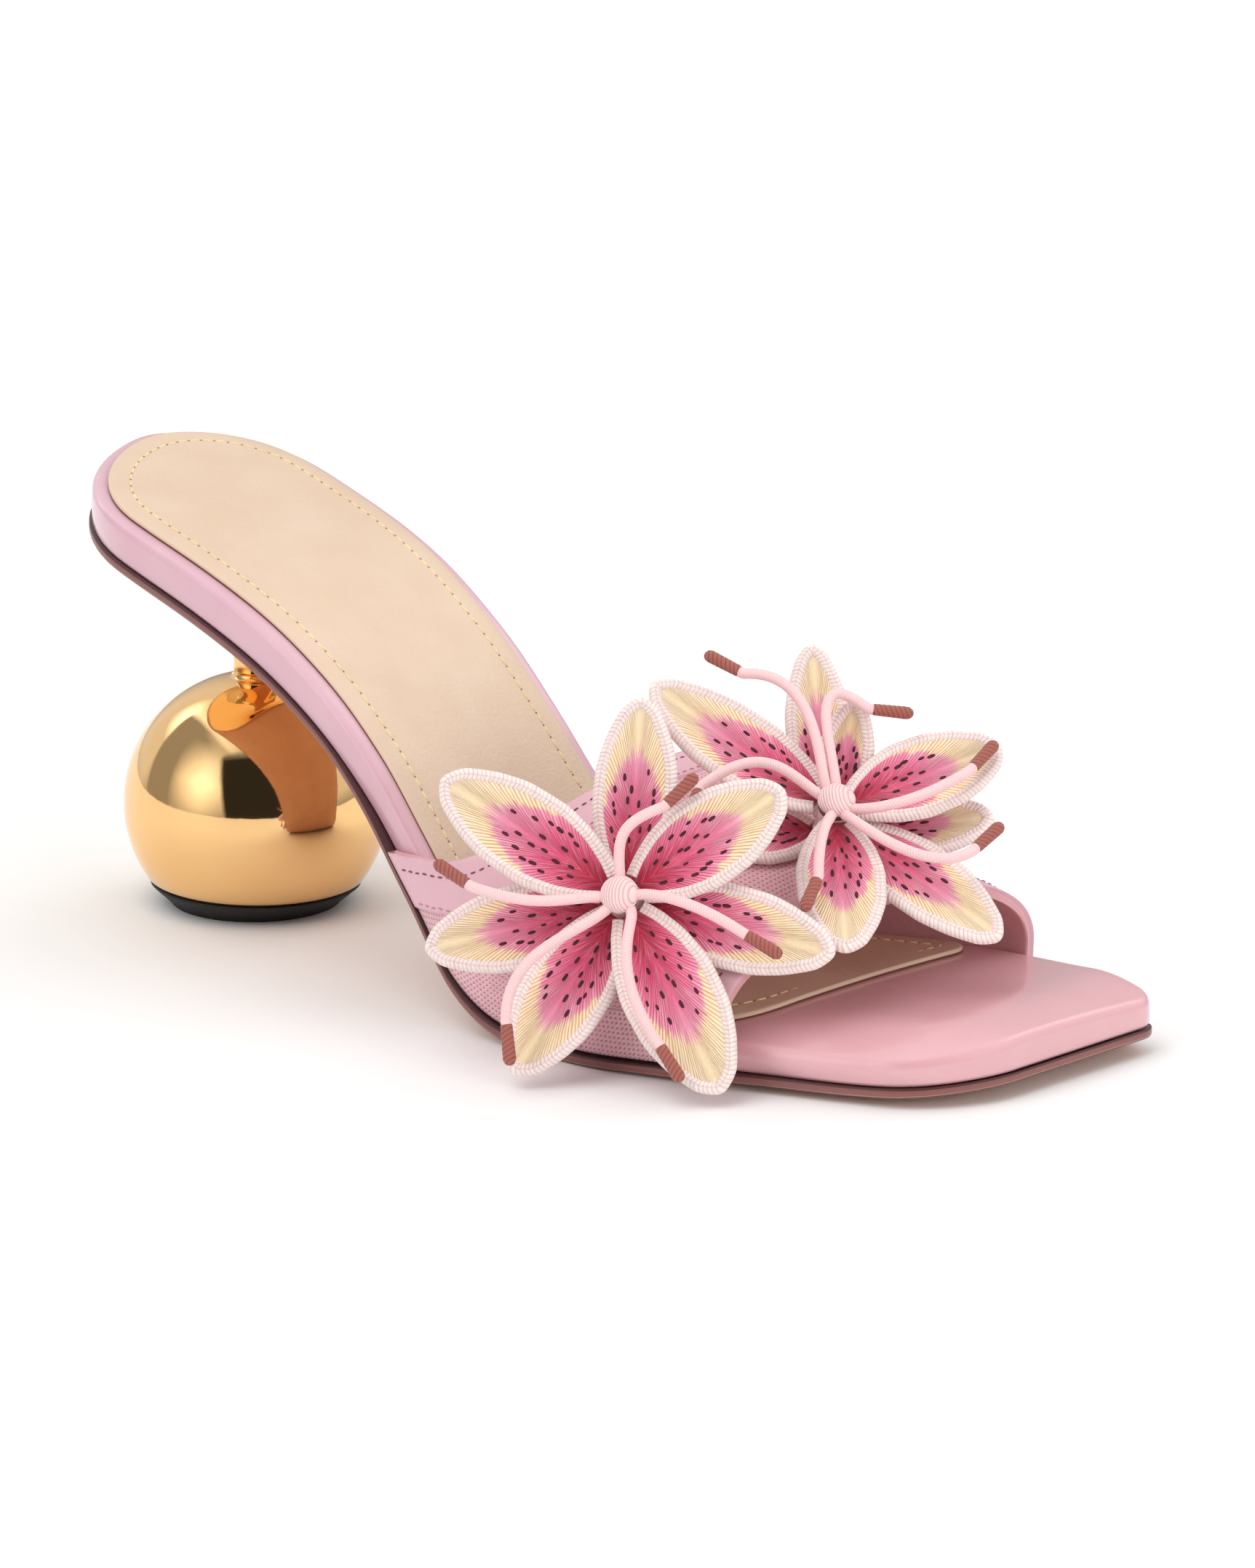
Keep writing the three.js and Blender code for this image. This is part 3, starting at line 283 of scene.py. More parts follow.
# ---------------------------------------------------------------- mesh building
class Shape:
    """Gathers points, faces and map places for one piece."""

    def __init__(self):
        self.points, self.faces, self.slots, self.count = [], [], [], 0
        self.maps = {"flat": [], "share": []}

    def add(self, points, faces, flat=None, share=None, slot=0):
        """Faces are quads of point numbers. A map is a place for each corner of each face."""
        points = np.asarray(points, float).reshape(-1, 3)
        self.points.append(points)
        self.faces.append(np.asarray(faces) + self.count)
        self.count += len(points)
        self.slots.append(np.full(len(faces), slot) if np.isscalar(slot) else np.asarray(slot))
        for name, places in (("flat", flat), ("share", share)):
            empty = np.zeros((len(faces), 4, 2))
            self.maps[name].append(empty if places is None else places)

    def grid(self, points, flat=None, share=None, slot=0, ring=False, flip=False):
        """A sheet of quads over an array of points. ring closes the second way round."""
        n, m = points.shape[:2]
        i, j = np.meshgrid(np.arange(n - 1), np.arange(m if ring else m - 1), indexing="ij")
        k = (j + 1) % m
        faces = np.stack([i * m + j, (i + 1) * m + j, (i + 1) * m + k, i * m + k], -1)

        def corners(places):
            if places is None:
                return None
            got = np.stack([places[i, j], places[i + 1, j], places[i + 1, j + 1], places[i, j + 1]], 2)
            got = got.reshape(-1, 4, 2)
            return got[:, ::-1] if flip else got

        faces = faces.reshape(-1, 4)
        if not np.isscalar(slot):
            slot = np.asarray(slot)[i, j].ravel()
        self.add(points, faces[:, ::-1] if flip else faces, corners(flat), corners(share), slot)

    def piece(self, name, looks, body="root", smooth=True, weld=True):
        points = leant(np.concatenate(self.points)) * MM
        faces = np.concatenate(self.faces)
        mesh = bpy.data.meshes.new(name)
        mesh.vertices.add(len(points))
        mesh.vertices.foreach_set("co", points.astype(np.float32).ravel())
        mesh.loops.add(faces.size)
        mesh.loops.foreach_set("vertex_index", faces.astype(np.int32).ravel())
        mesh.polygons.add(len(faces))
        mesh.polygons.foreach_set("loop_start", np.arange(0, faces.size, 4, dtype=np.int32))
        mesh.update(calc_edges=True)
        for name_of_map, places in self.maps.items():
            if any(p.any() for p in places):
                layer = mesh.uv_layers.new(name=name_of_map, do_init=False)
                layer.uv.foreach_set("vector", np.concatenate(places).astype(np.float32).ravel())
        mesh.polygons.foreach_set("material_index", np.concatenate(self.slots).astype(np.int32))
        mesh.polygons.foreach_set("use_smooth", np.full(len(faces), smooth))
        if weld:
            mend = bmesh_of(mesh)
            mend.to_mesh(mesh)
            mend.free()
        mesh.validate()
        for look in looks:
            mesh.materials.append(look)
        piece = bpy.data.objects.new(name, mesh)
        bpy.context.scene.collection.objects.link(piece)
        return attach(piece, body)


def bmesh_of(mesh):
    """Joins points that meet and turns faces outwards."""
    import bmesh

    made = bmesh.new()
    made.from_mesh(mesh)
    bmesh.ops.remove_doubles(made, verts=made.verts, dist=1e-6)
    bmesh.ops.dissolve_degenerate(made, edges=made.edges, dist=1e-7)
    bmesh.ops.recalc_face_normals(made, faces=made.faces)
    return made


def arc_length(points):
    steps = np.linalg.norm(np.diff(points, axis=0), axis=1)
    return np.concatenate([[0], np.cumsum(steps)])


def resampled(points, count):
    """The same line with its points at even distances."""
    s = arc_length(points)
    t = np.linspace(0, s[-1], count)
    return np.stack([np.interp(t, s, points[:, k]) for k in range(3)], -1)


def tangents(path):
    along = np.gradient(path, axis=0)
    return along / np.linalg.norm(along, axis=1, keepdims=True)


def tube(shape, path, up, radius, sides=12, relief=None, slot=0, flatten=1.0):
    """A round cord along a path. relief(length, turn) adds to the radius, and up keeps it from twisting."""
    along = tangents(path)
    side = np.cross(along, up)
    side /= np.linalg.norm(side, axis=1, keepdims=True)
    over = np.cross(side, along)
    turn = np.linspace(0, 2 * np.pi, sides + 1)
    s = arc_length(path)
    radius = np.broadcast_to(radius, s.shape)[:, None] * np.ones(sides)
    if relief is not None:
        radius = radius + relief(s[:, None], turn[None, :-1])
    c, d = np.cos(turn[:-1]), np.sin(turn[:-1]) * flatten
    points = path[:, None] + radius[..., None] * (side[:, None] * c[:, None] + over[:, None] * d[:, None])
    flat = np.stack(np.meshgrid(s, turn, indexing="ij"), -1)
    points = np.concatenate([np.repeat(path[:1, None], sides, 1), points, np.repeat(path[-1:, None], sides, 1)])
    flat = np.concatenate([flat[:1], flat, flat[-1:]])
    shape.grid(points, flat=flat, slot=slot, ring=True)


def bead(shape, centre, along, up, length, width, height, slot=0, rings=6, sides=8):
    """A small rounded dash, such as a stitch or a knot of thread."""
    along = along / np.linalg.norm(along)
    side = np.cross(up, along)
    side /= np.linalg.norm(side)
    over = np.cross(along, side)
    lift = np.linspace(-np.pi / 2, np.pi / 2, rings)
    turn = np.linspace(0, 2 * np.pi, sides, endpoint=False)
    x = np.sin(lift)[:, None] * np.ones(sides)
    y = np.cos(lift)[:, None] ** 0.7 * np.cos(turn)
    z = np.cos(lift)[:, None] ** 0.7 * np.sin(turn)
    points = (
        centre
        + x[..., None] * along * length / 2
        + y[..., None] * side * width / 2
        + z[..., None] * over * height / 2
    )
    shape.grid(points, slot=slot, ring=True)


def stitch_row(shape, path, normals, pitch, length, width, slot=0, start=0.5):
    """Dashes along a line on a surface."""
    s = arc_length(path)
    count = max(2, int(s[-1] / pitch))
    for t in (np.arange(count) + start) * s[-1] / count:
        at = np.array([np.interp(t, s, path[:, k]) for k in range(3)])
        ahead = np.array([np.interp(min(t + 0.3, s[-1]), s, path[:, k]) for k in range(3)])
        behind = np.array([np.interp(max(t - 0.3, 0), s, path[:, k]) for k in range(3)])
        normal = np.array([np.interp(t, s, normals[:, k]) for k in range(3)])
        bead(shape, at, ahead - behind, normal, length, width, width * 0.8, slot)


# ---------------------------------------------------------------- materials
def linear(red, green, blue):
    """A colour given in screen values, as the shaders take it."""
    return tuple(
        (c / 12.92 if c <= 0.04045 else ((c + 0.055) / 1.055) ** 2.4) for c in (red / 255, green / 255, blue / 255)
    ) + (1.0,)


class Nodes:
    """Builds a node tree."""

    def __init__(self, tree):
        self.tree = tree

    def put(self, socket, value):
        if isinstance(value, bpy.types.NodeSocket):
            self.tree.links.new(value, socket)
        else:
            socket.default_value = value

    def add(self, kind, inputs=(), **settings):
        node = self.tree.nodes.new("ShaderNode" + kind)
        for name, value in settings.items():
            setattr(node, name, value)
        for name, value in dict(inputs).items():
            self.put(node.inputs[name], value)
        return node

    def math(self, operation, *values):
        return self.add("Math", enumerate(values), operation=operation).outputs[0]

    def between(self, value, low, high, to_low=0.0, to_high=1.0):
        inputs = {0: value, 1: low, 2: high, 3: to_low, 4: to_high}
        return self.add("MapRange", inputs, clamp=True).outputs[0]

    def ramp(self, value, *stops):
        node = self.add("ValToRGB", {0: value})
        elements = node.color_ramp.elements
        while len(elements) < len(stops):
            elements.new(0.5)
        for element, (at, colour) in zip(elements, stops):
            element.position, element.color = at, colour
        return node.outputs[0]


class Look(Nodes):
    """A material built from nodes."""

    def __init__(self, name, **shader):
        self.material = bpy.data.materials.new(name)
        self.material.use_nodes = True
        super().__init__(self.material.node_tree)
        self.shader = self.tree.nodes["Principled BSDF"]
        self.set(**shader)

    def set(self, **shader):
        for name, value in shader.items():
            self.put(self.shader.inputs[name.replace("_", " ")], value)

    def place(self):
        """Place on the object in millimetres."""
        place = self.add("TexCoord").outputs["Object"]
        return self.add("VectorMath", {0: place, 3: 1 / MM}, operation="SCALE").outputs[0]

    def on_map(self, name):
        """The two numbers of one of the piece's maps."""
        got = self.add("SeparateXYZ", {0: self.add("UVMap", uv_map=name).outputs[0]})
        return got.outputs[0], got.outputs[1]

    def vector(self, x, y, z=0.0):
        return self.add("CombineXYZ", {0: x, 1: y, 2: z}).outputs[0]

    def noise(self, scale, detail=2.0, vector=None, roughness=0.5):
        vector = self.place() if vector is None else vector
        inputs = {"Vector": vector, "Scale": scale, "Detail": detail, "Roughness": roughness}
        return self.add("TexNoise", inputs).outputs[0]

    def cells(self, scale, feature="F1", output=0, vector=None):
        vector = self.place() if vector is None else vector
        return self.add("TexVoronoi", {"Vector": vector, "Scale": scale}, feature=feature).outputs[output]

    def mix(self, share, first, second):
        node = self.add("Mix", {0: share, 6: first, 7: second}, data_type="RGBA")
        return node.outputs[2]

    def bump(self, height, depth, onto=None):
        inputs = {"Height": height, "Strength": 1.0, "Distance": depth * MM}
        if onto is not None:
            inputs["Normal"] = onto
        return self.add("Bump", inputs).outputs[0]


def leather(
    name, colour, dark, grain=1.6, roughness=0.4, depth=0.05, coat=0.15, worn=0.35, shine=0.25, gloss=0.5, rear=None,
):
    """rear is the colour pair behind the forefoot: painted cooler light, a lilac tint on the same leather where the
    light falls cooler.
    """
    look = Look(name, Coat_Weight=coat, Coat_Roughness=shine, Specular_IOR_Level=gloss)
    if rear is not None:
        # painted cooler light: blend to the rear colours behind the forefoot
        ahead = look.between(look.add("SeparateXYZ", {0: look.place()}).outputs[0], 50.0, 115.0)
        colour, dark = look.mix(ahead, rear[0], colour), look.mix(ahead, rear[1], dark)
    cloud = look.noise(0.06, 3.0)
    fine = look.noise(grain * 1.8, 3.0)
    pebble = look.cells(grain, "SMOOTH_F1")
    share = look.between(look.math("ADD", cloud, look.math("MULTIPLY", fine, worn)), 0.45, 1.0)
    look.set(Base_Color=look.mix(share, colour, dark))
    look.set(Roughness=look.between(cloud, 0.3, 0.7, roughness - 0.05, roughness + 0.06))
    relief = look.bump(look.math("ADD", pebble, look.math("MULTIPLY", fine, 0.6)), depth)
    look.set(Normal=look.bump(look.noise(0.12, 1.0), 0.1, relief))
    return look.material


def thread(name, colour, dark, along=3.0, around=1.0, pitch=0.5, depth=0.05, roughness=0.6):
    """Cord or wound thread on the map 'flat': length by turn round the cord. The dark colour is painted shade in the
    valleys between the windings, with random fibre tone.
    """
    look = Look(name, Roughness=roughness, Sheen_Weight=0.25, Sheen_Roughness=0.4)
    length, turn = look.on_map("flat")
    phase = look.math(
        "ADD", look.math("MULTIPLY", length, 2 * math.pi / pitch * 0.5), look.math("MULTIPLY", turn, around)
    )
    ridge = look.math("ABSOLUTE", look.math("SINE", phase))
    fibre = look.noise(1.0, 3.0, look.vector(look.math("MULTIPLY", phase, 1.3), look.math("MULTIPLY", length, 0.4)))
    share = look.between(look.math("ADD", ridge, look.math("MULTIPLY", fibre, 0.5)), 0.1, 0.85)
    look.set(Base_Color=look.mix(share, dark, colour))
    look.set(Normal=look.bump(look.math("ADD", ridge, look.math("MULTIPLY", fibre, 0.4)), depth))
    return look.material


def rim_cord():
    """Two rows of slanted strands, as on the rim's own relief, with painted shade between the strands and along the
    groove where the rows meet.
    """
    look = Look("rim_cord", Roughness=0.6, Sheen_Weight=0.25, Sheen_Roughness=0.4)
    length, turn = look.on_map("flat")
    off = look.math("SUBTRACT", turn, math.pi / 2)
    off = look.math("ABSOLUTE", look.math("WRAP", off, math.pi, -math.pi))
    phase = look.math("ADD", look.math("MULTIPLY", length, math.pi / RIM_PITCH), look.math("MULTIPLY", off, 1.4))
    ridge = look.math("ABSOLUTE", look.math("SINE", phase))
    fibre = look.noise(1.0, 3.0, look.vector(look.math("MULTIPLY", phase, 2.6), look.math("MULTIPLY", length, 0.3)))
    # painted shade: darker in the groove between the rows and between the strands
    groove = look.between(off, 0.0, 0.25, 0.55, 1.0)
    strand = look.between(look.math("ADD", ridge, look.math("MULTIPLY", fibre, 0.5)), 0.1, 0.7)
    share = look.math("MULTIPLY", strand, groove)
    look.set(Base_Color=look.mix(share, linear(230, 172, 172), linear(255, 240, 234)))
    look.set(Normal=look.bump(look.math("ADD", ridge, fibre), 0.16))
    return look.material


def cloth(name, colour, hole_shade):
    """Open weave of cord threads, with small dark gaps between them: painted shade in the weave's holes."""
    look = Look(name, Roughness=0.75, Sheen_Weight=0.3, Sheen_Roughness=0.4)
    u, v = look.on_map("flat")
    pitch = 0.95
    turn = 2 * math.pi / pitch
    wobble = look.math("MULTIPLY", look.noise(0.8, 2.0), 0.9)
    a = look.math("COSINE", look.math("ADD", look.math("MULTIPLY", u, turn), wobble))
    b = look.math("COSINE", look.math("ADD", look.math("MULTIPLY", v, turn), wobble))
    weave = look.math("ADD", a, b)
    gap_shade = look.between(weave, 0.75, 1.55)
    tone = look.mix(look.noise(0.5, 3.0), colour, linear(226, 172, 184))
    # painted shade: the gaps between threads take the darker colour
    look.set(Base_Color=look.mix(gap_shade, tone, hole_shade))
    relief = look.math("MULTIPLY", weave, -0.5)
    look.set(Normal=look.bump(look.math("ADD", relief, look.math("MULTIPLY", look.noise(4.0, 3.0), 0.4)), 0.11))
    return look.material


def petal_face():
    """Long threads that fan out from the root: crimson, then pink, then cream towards the rim, with painted highlights
    along the strokes and painted shade in the gaps between threads.
    """
    look = Look("petal_threads", Roughness=0.5, Sheen_Weight=0.3, Sheen_Roughness=0.35)
    x, y = look.on_map("flat")
    at, share = look.on_map("share")
    beside = look.math("ADD", look.math("ABSOLUTE", y), 1.2)
    spread = look.math("DIVIDE", look.math("LOGARITHM", beside, math.e), 2.2)
    fan = look.math("SUBTRACT", look.math("LOGARITHM", look.math("ADD", x, 4.0), math.e), spread)
    long_strokes = look.noise(1.0, 2.0, look.vector(look.math("MULTIPLY", fan, 26), look.math("MULTIPLY", x, 0.1)))
    strokes = look.noise(1.0, 2.0, look.vector(look.math("MULTIPLY", fan, 34), look.math("MULTIPLY", x, 0.2), 7.0))
    side = look.math("MULTIPLY", look.math("POWER", look.math("ABSOLUTE", share), 2.2), 0.46)
    zone = look.math("ADD", look.math("ADD", at, side), look.between(long_strokes, 0.25, 0.75, -0.08, 0.08))
    colour = look.ramp(
        zone,
        (0.0, linear(166, 4, 46)),
        (0.14, linear(200, 24, 74)),
        (0.32, linear(230, 78, 124)),
        (0.55, linear(240, 126, 162)),
        (0.7, linear(246, 158, 188)),
        (0.74, linear(255, 230, 184)),
        (1.0, linear(255, 234, 196)),
    )
    wave = look.math("ADD", look.math("MULTIPLY", fan, 62), look.math("MULTIPLY", strokes, 2.0))
    ridge = look.math("ABSOLUTE", look.math("SINE", wave))
    gap_shade = look.between(look.math("ADD", ridge, look.math("MULTIPLY", strokes, 0.7)), 0.3, 1.0, 0.8, 0.0)
    apart = look.between(look.math("ABSOLUTE", y), 0.2, 1.4, 0.25, 1.0)
    # painted highlight: pale streaks along the strokes
    light = look.mix(look.between(strokes, 0.5, 0.72, 0.0, 0.34), colour, linear(255, 236, 232))
    # painted shade: darker in the gaps between threads, faded near the middle line
    shade = look.add(
        "Mix", {0: look.math("MULTIPLY", gap_shade, apart), 6: light, 7: linear(226, 148, 128)},
        data_type="RGBA", blend_type="MULTIPLY",
    )
    look.set(Base_Color=shade.outputs[2])
    relief = look.math("MULTIPLY", look.math("ADD", ridge, look.math("MULTIPLY", strokes, 0.8)), apart)
    look.set(Normal=look.bump(relief, 0.16))
    return look.material


def metal():
    look = Look("polished_gold", Metallic=1.0)
    smear = look.noise(0.12, 3.0)
    look.set(Roughness=look.between(smear, 0.3, 0.75, 0.035, 0.08))
    look.set(Base_Color=look.mix(look.noise(0.05, 2.0), linear(249, 207, 148), linear(244, 196, 133)))
    look.set(Normal=look.bump(look.noise(0.35, 2.0), 0.01))
    return look.material


def rubber():
    look = Look("tip_rubber", Specular_IOR_Level=0.4)
    fine = look.noise(3.0, 4.0)
    look.set(Base_Color=look.mix(fine, linear(16, 15, 15), linear(38, 35, 34)))
    look.set(Roughness=look.between(fine, 0.3, 0.7, 0.5, 0.7))
    look.set(Normal=look.bump(fine, 0.05))
    return look.material


def sole_edge():
    """Brown leather sole with a burnished edge, coloured by height with painted light: painted shade on the lower
    bevel, a pale painted highlight along the bevel's corner, and a dark painted shadow under the platform.
    """
    look = Look("outsole_leather", Coat_Weight=0.2, Coat_Roughness=0.3)
    length, height = look.on_map("flat")
    layers = look.noise(1.0, 2.0, look.vector(look.math("MULTIPLY", length, 0.05), look.math("MULTIPLY", height, 6)))
    # painted light by height: shade below, a highlight line at the bevel's corner, dark painted shadow at the top and
    # on the welt's top face
    tone = look.ramp(
        look.math("DIVIDE", height, 3.0),
        (0.1, linear(108, 64, 60)),
        (0.26, linear(116, 70, 66)),
        (0.31, linear(194, 146, 130)),
        (0.36, linear(146, 94, 88)),
        (0.66, linear(136, 84, 80)),
        (0.72, linear(64, 30, 32)),
    )
    look.set(Base_Color=look.mix(look.between(layers, 0.3, 0.7, 0.0, 0.45), tone, linear(96, 50, 48)))
    look.set(Roughness=look.between(look.noise(0.7, 3.0), 0.3, 0.7, 0.36, 0.52))
    look.set(Normal=look.bump(look.math("ADD", layers, look.noise(2.0, 3.0)), 0.05))
    return look.material


def sock_side():
    """The sock's cut edge: a thin dark line of painted contact shade at its foot, and the sock's own colour above it.
    """
    look = Look("sock_edge", Roughness=0.5)
    _, height = look.on_map("flat")
    tone = look.ramp(height, (0.0, linear(122, 80, 66)), (0.38, linear(136, 92, 76)), (0.46, linear(222, 196, 171)))
    look.set(Base_Color=tone)
    look.set(Normal=look.bump(look.noise(2.7, 3.0), 0.03))
    return look.material


LOOKS = {
    # the platform's rear pair is painted cooler light on its shank
    "platform": leather(
        "platform_leather", linear(225, 172, 178), linear(219, 162, 168), roughness=0.36, coat=0.8, depth=0.03,
        shine=0.13, gloss=0.8, rear=(linear(219, 175, 187), linear(212, 165, 179)),
    ),
    "band": leather("band_leather", linear(228, 184, 194), linear(220, 172, 183), depth=0.03),
    "lining": leather("lining_leather", linear(222, 170, 172), linear(208, 150, 154), roughness=0.55, coat=0),
    "sock": leather(
        "sock_leather", linear(224, 198, 173), linear(216, 187, 160), grain=1.5, roughness=0.42, depth=0.08,
        coat=0.25, shine=0.3,
    ),
    "sock_edge": sock_side(),
    "outsole": sole_edge(),
    "under": leather("outsole_underside", linear(208, 159, 136), linear(193, 142, 118), roughness=0.5, coat=0.1),
    "cloth": cloth("vamp_cloth", linear(244, 204, 208), linear(192, 122, 132)),
    "gold": metal(),
    "rubber": rubber(),
    "petal": petal_face(),
    # the second colour of each thread look is painted shade between its windings
    "petal_back": thread("petal_back", linear(236, 196, 198), linear(210, 150, 156), pitch=0.9, around=0.0),
    "rim": rim_cord(),
    "button": thread("button_cord", linear(246, 214, 212), linear(206, 142, 146), pitch=0.62, around=0.0, depth=0.1),
    "cord": thread("stamen_cord", linear(246, 208, 208), linear(232, 180, 184), pitch=0.5, around=2.0, depth=0.03),
    "anther": thread("anther_thread", linear(166, 94, 82), linear(104, 52, 46), pitch=0.9, around=2.0, depth=0.09),
    "dot": leather("dot_thread", linear(84, 24, 40), linear(56, 12, 28), grain=4, roughness=0.6, coat=0),
    "dark_stitch": leather("dark_stitch", linear(142, 84, 96), linear(112, 62, 74), grain=4, roughness=0.7, coat=0),
    "soft_stitch": leather("soft_stitch", linear(204, 148, 160), linear(188, 130, 142), grain=4, roughness=0.7, coat=0),
    "pale_stitch": leather("pale_stitch", linear(244, 224, 180), linear(228, 202, 154), grain=4, roughness=0.7, coat=0),
    # painted shade of the needle holes between the pale stitches
    "hole_shade": leather("stitch_hole_shade", linear(176, 134, 102), linear(156, 116, 88), grain=4, roughness=0.8, coat=0),
}


def made(shape, name, nodes, slot, *looks, weld=True):
    piece = shape.piece(name, [LOOKS[look] for look in looks], weld=weld)
    for node in nodes:
        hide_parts(node)
    return piece


# ---------------------------------------------------------------- sole
def sole_layer(shape, edges, levels, columns=20, slots=(0, 0, 0)):
    """Rings of the plan stacked up, closed below and above. slots are for the foot, sides and top."""
    outer, inner = edges
    share = np.linspace(0, 1, columns + 1)[1:-1, None]
    front = outer[-1] + (inner[-1] - outer[-1]) * share
    back = inner[0] + (outer[0] - inner[0]) * share
    plan = np.concatenate([outer, front, inner[::-1], back])
    rows, count = len(outer), len(plan)
    rings = []
    for inset, height in levels:
        loop = inset_loop(plan, inset)
        rings.append(np.concatenate([loop, height(loop[:, 0], loop[:, 1])[:, None]], 1))
    length = arc_length(np.concatenate([rings[0], rings[0][:1]]))
    rise = np.concatenate([[0], np.cumsum([np.linalg.norm(b - a, axis=1).mean() for a, b in zip(rings, rings[1:])])])
    flat = np.stack(np.meshgrid(rise, length, indexing="ij"), -1)[..., ::-1]
    shape.grid(np.array(rings), flat=flat, slot=slots[1], ring=True, flip=True)
    for ring, (_, height), up, slot in ((rings[0], levels[0], False, slots[0]), (rings[-1], levels[-1], True, slots[2])):
        left = ring[:rows]
        right = ring[rows + columns - 1 : 2 * rows + columns - 1][::-1]
        across = np.linspace(0, 1, columns + 1)[None, :, None]
        cap = left[:, None] + (right - left)[:, None] * across
        behind = ring[rows : rows + columns - 1, 0] - 0.15 * np.arange(rows)[::-1, None]
        cap[:, 1:-1, 0] = np.minimum(cap[:, 1:-1, 0], np.maximum(behind, left[-1:, :1] - 5))
        cap[..., 2] = height(cap[..., 0], cap[..., 1])
        cap[-1, 1:-1] = ring[rows : rows + columns - 1]
        cap[0, 1:-1] = ring[count - columns + 1 :][::-1]
        cap[:, 0], cap[:, -1] = left, right
        shape.grid(cap, flat=cap[..., :2] + 500, slot=slot, flip=not up)


sole_front = SOLE_LENGTH - HEEL_SETBACK
platform_edges = (
    long_edge(-1, sole_front - TOE_LEAD, OUTER_TOE_RADIUS),
    long_edge(1, sole_front, INNER_TOE_RADIUS),
)
outsole_edges = (
    long_edge(-1, sole_front - TOE_LEAD, OUTER_TOE_RADIUS, WELT_WIDTH),
    long_edge(1, sole_front, INNER_TOE_RADIUS, WELT_WIDTH),
)
sock_front = SOCK_REACH - HEEL_SETBACK
sock_edges = (
    long_edge(-1, sock_front - SOCK_LEAD, SOCK_OUTER_RADIUS),
    long_edge(1, sock_front, SOCK_INNER_RADIUS),
)


def make_sole():
    def over_ground(rise):
        return lambda x, y: ground_height(x, y) + rise

    def under_top(drop):
        return lambda x, y: platform_top(x, y) - drop

    shape = Shape()
    top = OUTSOLE_THICKNESS - CLEARANCE / 2
    sole_layer(shape, outsole_edges, [
        (OUTSOLE_BEVEL * 0.7, over_ground(0)),
        (OUTSOLE_BEVEL * 0.2, over_ground(0.2)),
        (0, over_ground(0.5)),
        (0, over_ground(top * 0.75)),
        (0.05, over_ground(top - 0.15)),
        (0.2, over_ground(top)),
    ], slots=(1, 0, 0))
    made(shape, "outsole_leather_sole", ["outsole"], "outsole_leather", "outsole", "under")

    shape = Shape()
    turns = np.linspace(0, np.pi / 2, 7)
    levels = [(PLATFORM_INSET + 0.15, over_ground(OUTSOLE_THICKNESS + CLEARANCE / 2))]
    levels.append((PLATFORM_INSET, over_ground(OUTSOLE_THICKNESS + CLEARANCE / 2 + 0.4)))
    levels.append((PLATFORM_INSET - 0.12, under_top(PLATFORM_EDGE_RADIUS + 2.6)))
    for turn in turns:
        inset = PLATFORM_INSET + PLATFORM_EDGE_RADIUS * (1 - math.cos(turn))
        levels.append((inset, under_top(PLATFORM_EDGE_RADIUS * (1 - math.sin(turn)))))
    sole_layer(shape, platform_edges, levels)
    made(shape, "platform_wrap", ["platform"], "pink_leather", "platform")

    def sock_height(rise):
        return lambda x, y: platform_top(x, y) + rise

    shape = Shape()
    sole_layer(shape, sock_edges, [
        (SOCK_INSET, sock_height(0.02)),
        (SOCK_INSET, sock_height(CLEARANCE + SOCK_THICKNESS * 0.55)),
        (SOCK_INSET + 0.12, sock_height(CLEARANCE + SOCK_THICKNESS * 0.85)),
        (SOCK_INSET + 0.45, sock_height(CLEARANCE + SOCK_THICKNESS)),
    ], slots=(1, 1, 0))
    made(shape, "sock_lining", ["insole_sock"], "sock_leather", "sock", "sock_edge")

    loop = inset_loop(np.concatenate([sock_edges[0], sock_edges[1][::-1]]), SOCK_STITCH_INSET)
    height = platform_top(loop[:, 0], loop[:, 1]) + CLEARANCE + SOCK_THICKNESS
    path = np.concatenate([loop, height[:, None]], 1)
    path = resampled(np.concatenate([path, path[:1]]), 900)
    normals = np.tile([0, 0, 1.0], (len(path), 1))
    shape = Shape()
    stitch_row(shape, path, normals, 2.8, 2.0, 0.55)
    # painted shade: small darker beads in the needle holes between the stitches
    stitch_row(shape, path, normals, 2.8, 0.42, 0.42, slot=1, start=0.0)
    made(shape, "sock_stitches", [], "sock_leather", "pale_stitch", "hole_shade")


# ---------------------------------------------------------------- vamp
def smooth_step(value, low, high):
    t = np.clip((value - low) / (high - low), 0, 1)
    return t * t * (3 - 2 * t)


def vamp_depth(distance, length):
    """Outer depth of the wall: the leather bands stand off the cloth."""
    rear = 1 - smooth_step(distance, REAR_BAND_WIDTH - 0.15, REAR_BAND_WIDTH + 0.25)
    front = smooth_step(distance, length - FRONT_BAND_WIDTH - 0.25, length - FRONT_BAND_WIDTH + 0.15)
    return WALL_THICKNESS + BAND_RAISE * np.maximum(rear, front)


